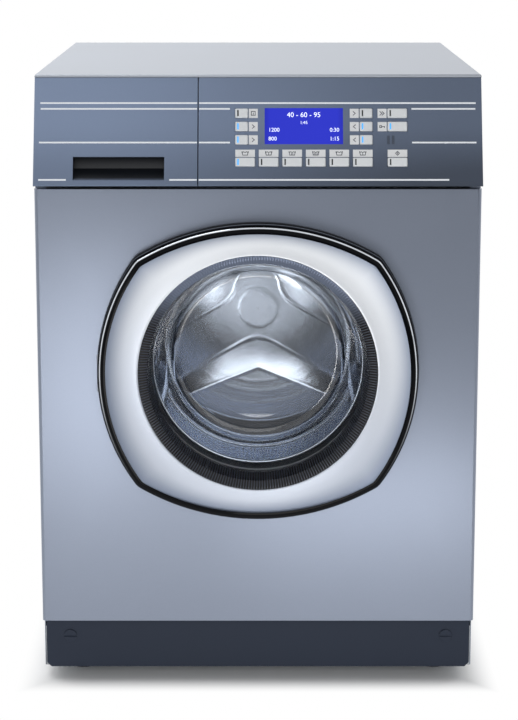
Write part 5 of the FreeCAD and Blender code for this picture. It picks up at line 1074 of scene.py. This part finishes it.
def drum_basket():
    """Drum of brushed sheet: rolled mouth, coned front, plain wall and a back with a pressed star."""
    shoulder = (DRUM_R - DRUM_ROUND, DRUM_SHOULDER + SHOULDER_LAG)
    heel = (DRUM_R - DRUM_ROUND, DRUM_BACK - DRUM_ROUND)
    inner_round = DRUM_ROUND - DRUM_SHEET
    outside = arc((DRUM_MOUTH_R + MOUTH_ROLL, DRUM_FRONT + MOUTH_ROLL), MOUTH_ROLL, 330, 150, 8)
    outside += [CONE_END] + arc(shoulder, DRUM_ROUND, 290, 360, 5)
    outside += [(DRUM_R, depth) for depth in WALL_ROWS + heel[1:]]
    outside += arc(heel, DRUM_ROUND, 20, 90, 5)
    inside = arc(heel, inner_round, 90, 0, 6)
    inside += [(DRUM_R - DRUM_SHEET, depth) for depth in reversed(WALL_ROWS)]
    inside += arc(shoulder, inner_round, 360, 290, 5)
    radii = [BACK_R - BACK_STEP * step for step in range(BACK_ROWS)]
    rows = [circle(radius, depth, DRUM_POINTS) for radius, depth in outside]
    rows += [drum_back_ring(radius, 0.0) for radius in radii]
    rows += [drum_back_ring(radius, DRUM_SHEET) for radius in reversed(radii)]
    rows += [circle(radius, depth, DRUM_POINTS) for radius, depth in inside]
    finished(banded(rows, True), "drum_basket_brushed", "drum", "stainless", "drum_basket")


# Signs and prints on the fascia

def on_fascia(piece):
    """Takes a piece from the flat (x, s, n) to the leaning face of the fascia."""
    base = Vector((0.0, PANEL_Y - FASCIA_PROUD * MM, FASCIA_Z))
    piece.matrix_world = Matrix.Translation(base) @ Matrix.Rotation(pi / 2 - LEAN, 4, "X")
    return seated(piece)


def tile(x, s, n, edge):
    """A small plate in (x, s, n) with bevelled edges."""
    piece = block(x, s, n)
    edit(piece)
    bpy.ops.mesh.bevel(offset=edge * MM, segments=2)
    alone()
    return piece


def stroke(start, end):
    """A bar of a sign from one point (x, s) to another."""
    half = (dist(start, end) + SIGN_W) / 2
    bar = tile((-half, half), (-SIGN_W / 2, SIGN_W / 2), (LABEL_FACE, LABEL_FACE + SIGN_T), SIGN_BEVEL)
    turn = atan2(end[1] - start[1], end[0] - start[0])
    middle = ((start[0] + end[0]) / 2 * MM, (start[1] + end[1]) / 2 * MM, 0.0)
    bar.matrix_world = Matrix.Translation(middle) @ Matrix.Rotation(turn, 4, "Z")
    return seated(bar)


def tub_sign(bars):
    places = [(bar - (bars - 1) / 2) * TUB_BAR_PITCH for bar in range(bars)]
    return TUB + [[(place, s) for s in TUB_BAR] for place in places]


def label_signs():
    """Dark line signs on the pale label plates."""
    upper, middle, lower = [ROW_S + ROW_PITCH * row + ROW_H / 2 for row in (2, 1, 0)]
    left = LEFT_X + SMALL_KEY_W + LABEL_GAP + LABEL_W / 2
    right = RIGHT_X + LABEL_W / 2
    wide = WIDE_X + LABEL_W / 2
    label_s = PROGRAM_S + PROGRAM_H + LABEL_GAP + PROGRAM_LABEL_H / 2
    signs = [(BOX, left, upper, 1), (CHEVRON, left, middle, 1), (CHEVRON, left, lower, 1),
             (CHEVRON, right, upper, 1), (CHEVRON, right, middle, -1), (CHEVRON, right, lower, -1),
             (CHEVRON, wide - CHEVRON_STEP, upper, 1), (CHEVRON, wide + CHEVRON_STEP, upper, 1),
             (KEY, wide, middle, 1)]
    for number in range(PROGRAMS):
        key_x = PROGRAM_X + PROGRAM_PITCH * number
        signs.append((tub_sign(number % TUB_KINDS), key_x + WIDE_KEY_W / 2, label_s, 1))
    signs.append((DIAMOND, START_X + WIDE_KEY_W / 2, label_s, 1))
    bars = []
    for sign, x, s, side in signs:
        for path in sign:
            points = [(x + across * side, s + up) for across, up in path]
            bars += [stroke(start, end) for start, end in zip(points, points[1:])]
    finished(on_fascia(joined(bars)), "label_signs", "cabinet", "label_white", finish=DARK_PRINT)


def fascia_prints():
    """White lines across the fascia, broken at the drawer's seam."""
    for name, body, lines in (("drawer_print_lines", "drawer", DRAWER_LINES),
                              ("fascia_print_lines", "cabinet", PANEL_LINES)):
        tiles = [tile((start, end), (s - PRINT_W / 2, s + PRINT_W / 2), (0.0, PRINT_T), PRINT_BEVEL)
                 for start, end, s in lines]
        finished(on_fascia(joined(tiles)), name, body, "label_white", finish=GLOWING_WHITE_PRINT)


def words(text, x, s, size, align):
    """Figures on the display, as a thin mesh."""
    alone()
    bpy.ops.object.text_add()
    piece = bpy.context.object
    piece.data.body = text
    piece.data.size = size * MM
    piece.data.align_x = align
    piece.data.align_y = "CENTER"
    piece.data.extrude = FIGURE_T * MM
    piece.data.resolution_u = FIGURE_CURVES
    bpy.ops.object.convert(target="MESH")
    piece = bpy.context.object
    piece.location = (x * MM, s * MM, FIGURE_LIFT * MM)
    return seated(piece)


def display_figures():
    """Rows of plain figures on the blue display."""
    sides = {"LEFT": DISPLAY_X + DISPLAY_MARGIN, "CENTER": DISPLAY_X + DISPLAY_W / 2,
             "RIGHT": DISPLAY_X + DISPLAY_W - DISPLAY_MARGIN}
    top = DISPLAY_S + DISPLAY_H
    figures = [words(text, sides[side], top - below, size, side) for text, side, below, size in FIGURES]
    piece = on_fascia(joined(figures))
    finished(piece, "display_figures", "cabinet", "display_lens", finish=DISPLAY_PRINT)


def key_places():
    """Lower left corner, width and height of every key, as (x, s)."""
    places = {}
    for row, place in enumerate(("upper", "middle", "lower")):
        s = ROW_S + ROW_PITCH * (2 - row)
        places["key_left_" + place] = (LEFT_X, s, SMALL_KEY_W, ROW_H)
        places["key_right_" + place] = (RIGHT_X + LABEL_W + LABEL_GAP, s, SMALL_KEY_W, ROW_H)
        if place != "lower":
            places["key_wide_" + place] = (WIDE_X + LABEL_W + LABEL_GAP, s, WIDE_KEY_W, ROW_H)
    for number in range(PROGRAMS):
        key_x = PROGRAM_X + PROGRAM_PITCH * number
        places["key_program_%d" % (number + 1)] = (key_x, PROGRAM_S, WIDE_KEY_W, PROGRAM_H)
    places["key_start"] = (START_X, PROGRAM_S, WIDE_KEY_W, PROGRAM_H)
    return places


def key_lamps():
    """An indicator bar in the slot of every key, lit on some of them."""
    for name, (x, s, width, height) in key_places().items():
        left = x + LED_INSET
        low = s + (height - LED_H) / 2
        bar = tile((left + LED_GAP, left + LED_W - LED_GAP), (low + LED_GAP, low + LED_H - LED_GAP),
                   (KEY_FACE - LED_DEPTH, KEY_FACE - LED_GAP), LED_BEVEL)
        finish = LIT_LAMP if name in LIT_KEYS else DARK_LAMP
        finished(on_fascia(bar), "lamp_" + name, name, "key_silver", finish=finish)


# Back and carried-over pieces

def screw_head():
    """Round head with a cross recess, facing the back."""
    alone()
    bpy.ops.mesh.primitive_cylinder_add(vertices=SCREW_SIDES, radius=SCREW_R * MM, depth=SCREW_T * MM,
                                        rotation=(-pi / 2, 0, 0))
    head = seated(bpy.context.object)
    edit(head)
    mesh = bmesh.from_edit_mesh(head.data)
    for face in mesh.faces:
        face.select = face.normal.y > 0.9
    mesh.select_flush(True)
    bmesh.update_edit_mesh(head.data)
    for inset, rise in SCREW_CROWN:
        bpy.ops.mesh.inset(thickness=inset * MM, depth=rise * MM)
    for turn in (0, pi / 2):
        slot = block((-SLOT_HALF, SLOT_HALF), SLOT_Y, (-SLOT_HALF_W, SLOT_HALF_W))
        slot.matrix_world = Matrix.Rotation(turn, 4, "Y")
        cut_by(head, seated(slot))
    return closed_up(head)


def back_screws():
    """Screws round the service cover and along the back wall's edges."""
    model = screw_head()
    cover_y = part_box("rear_service_cover")[0].y + (SCREW_T / 2 + COVER_SHEET) * MM
    wall_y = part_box("cabinet_shell")[1].y + SCREW_T / 2 * MM
    reach = COVER_SCREW_R * MM
    places = []
    for number in range(COVER_SCREWS):
        turn = pi * 2 * (number + 0.5) / COVER_SCREWS
        places.append((reach * cos(turn), cover_y, AXIS_Z + reach * sin(turn)))
    for side in (-1, 1):
        places += [(side * WALL_SCREW_X * MM, wall_y, height * MM) for height in WALL_SCREW_Z]
    screws = []
    for place in places:
        screw = copied(model)
        screw.location = place
        screws.append(seated(screw))
    bpy.data.objects.remove(model)
    finished(joined(screws), "back_screws", "cabinet", "zinc_steel")


def smooth_copy(node):
    """A merged copy of a solid with rounded edges shaded smooth, weighted by face area."""
    copy = copied(frame["nodes"][node])
    for key in [key for key in copy.keys() if key.startswith("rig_")]:
        del copy[key]
    copy.parent = None
    edit(copy)
    bpy.ops.mesh.remove_doubles(threshold=SOLID_MERGE * MM)
    bpy.ops.object.mode_set(mode="OBJECT")
    bpy.ops.object.shade_smooth_by_angle(angle=SOLID_ANGLE)
    change = copy.modifiers.new("weights", "WEIGHTED_NORMAL")
    change.keep_sharp = True
    bpy.ops.object.modifier_apply(modifier=change.name)
    return copy


def carried_over():
    """Every other solid keeps its shape and gets the finish of its slot."""
    for node in SMOOTH_NODES + tuple(key_places()):
        finished(smooth_copy(node), node + "_smooth", BODIES[node], SLOTS[node], node)
    for node, thing in frame["nodes"].items():
        thing.data.materials[0] = FINISHES[SLOTS[node]].material


# Flexible pieces between the cabinet and the floating tub

def flexible(piece, name, node, bodies, start, end):
    """Paints a piece with its node's finish, lets it stand for that node and puts its place into its
    mesh; bodies, start and end are not used.
    """
    painted(piece, name, SLOTS[node], node)
    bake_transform(piece)


def heights(piece):
    """A piece's lowest and highest levels, as points on the upright axis."""
    levels = [vertex.co.z for vertex in piece.data.vertices]
    return Vector((0.0, 0.0, min(levels))), Vector((0.0, 0.0, max(levels)))


def gasket():
    """The bellows between the loading port and the tub's neck, as one smooth painted piece."""
    start, end = [(0.0, PANEL_Y + depth * MM, 0.0) for depth in BELLOWS_D]
    piece = smooth_copy("door_gasket")
    flexible(piece, "door_gasket_smooth", "door_gasket", ("cabinet", "tub"), start, end)


def springs():
    """The springs between the tub's lugs and the spring rails, as one smooth painted piece."""
    piece = smooth_copy("suspension_springs")
    low, high = heights(piece)
    high.z -= SPRING_HOOK_H * MM
    flexible(piece, "suspension_springs_smooth", "suspension_springs", ("tub", "cabinet"), low, high)


def hoses():
    """Each hose is a piece of its own. Two of them join the tub to something on the cabinet."""
    edit(smooth_copy("water_hoses"))
    bpy.ops.mesh.separate(type="LOOSE")
    parts = list(bpy.context.selected_objects)
    bpy.ops.object.mode_set(mode="OBJECT")
    parts.sort(key=lambda part: min(vertex.co.x for vertex in part.data.vertices))
    inlet, dispenser, sump, drain = parts
    for piece, name in ((inlet, "inlet_hose"), (drain, "drain_hose")):
        finished(piece, name, "cabinet", SLOTS["water_hoses"], "water_hoses")
    flexible(dispenser, "dispenser_hose", "water_hoses", ("tub", "cabinet"), *heights(dispenser))
    low, high = heights(sump)
    low.z += SUMP_HOSE_D * MM
    flexible(sump, "sump_hose", "water_hoses", ("cabinet", "tub"), low, high)


# Stage

def floor():
    """Pale floor that keeps the shadow near the machine and runs out into white."""
    alone()
    bpy.ops.mesh.primitive_plane_add(size=FLOOR_SIZE)
    plane = bpy.context.object
    plane.name = "floor"
    made = Finish("floor_pale")
    x, y, z = made.axes()
    outside = (x.away() - FLOOR_HALF).larger(y.away() - FLOOR_HALF)
    far = outside.rise(*FLOOR_FADE) * made.seen()
    made.surface(PALE, made.noise(DUST) * 0.1 + 0.6)
    path = made.node("ShaderNodeLightPath").outputs
    ahead = (-1 * y).rise(*GLOSS_AHEAD) * (x.rise(*GLOSS_ASIDE) * (1 - GLOSS_LEFT) + GLOSS_LEFT)
    level = 1 - ahead * path["Is Glossy Ray"] * (1 - GLOSS_LEVEL)
    made.covered(far, made.node("ShaderNodeEmission", sockets={"Color": level}))
    plane.data.materials.append(made.material)


def placed(data, place, turn):
    thing = bpy.data.objects.new(data.name, data)
    bpy.context.scene.collection.objects.link(thing)
    thing.location = place
    thing.rotation_euler = turn
    return thing


def lamp(name, place, target, size, power, mirrored):
    data = bpy.data.lights.new(name, "AREA")
    data.shape = "RECTANGLE"
    data.size, data.size_y = size
    data.energy = power
    aim = Vector(target) - Vector(place)
    thing = placed(data, place, aim.to_track_quat("-Z", "Y").to_euler())
    thing.visible_camera = False
    thing.visible_glossy = mirrored


def world():
    """White to the camera, to gloss and through glass, and a low even fill otherwise."""
    studio = bpy.data.worlds.new("studio")
    bpy.context.scene.world = studio
    made = Graph(studio)
    level = made.seen() * (1 - FILL_LIGHT) + FILL_LIGHT
    background = made.node("ShaderNodeBackground", sockets={"Color": WHITE, "Strength": level})
    made.node("ShaderNodeOutputWorld", sockets={"Surface": background.outputs[0]})


def camera():
    data = bpy.data.cameras.new("camera")
    data.lens = LENS
    data.shift_x, data.shift_y = SHIFT
    place = (0.0, PANEL_Y - CAMERA_AHEAD, CAMERA_Z)
    bpy.context.scene.camera = placed(data, place, (radians(90 - CAMERA_PITCH), 0.0, 0.0))


def build():
    door_rim()
    door_face()
    door_glass()
    door_trim()
    gasket_ribs()
    drum_basket()
    fascia_prints()
    label_signs()
    display_figures()
    key_lamps()
    back_screws()
    gasket()
    springs()
    hoses()
    carried_over()
    floor()
    for row in LAMPS:
        lamp(*row)
    world()
    camera()


build()
bpy.context.scene.view_settings.view_transform = "Standard"
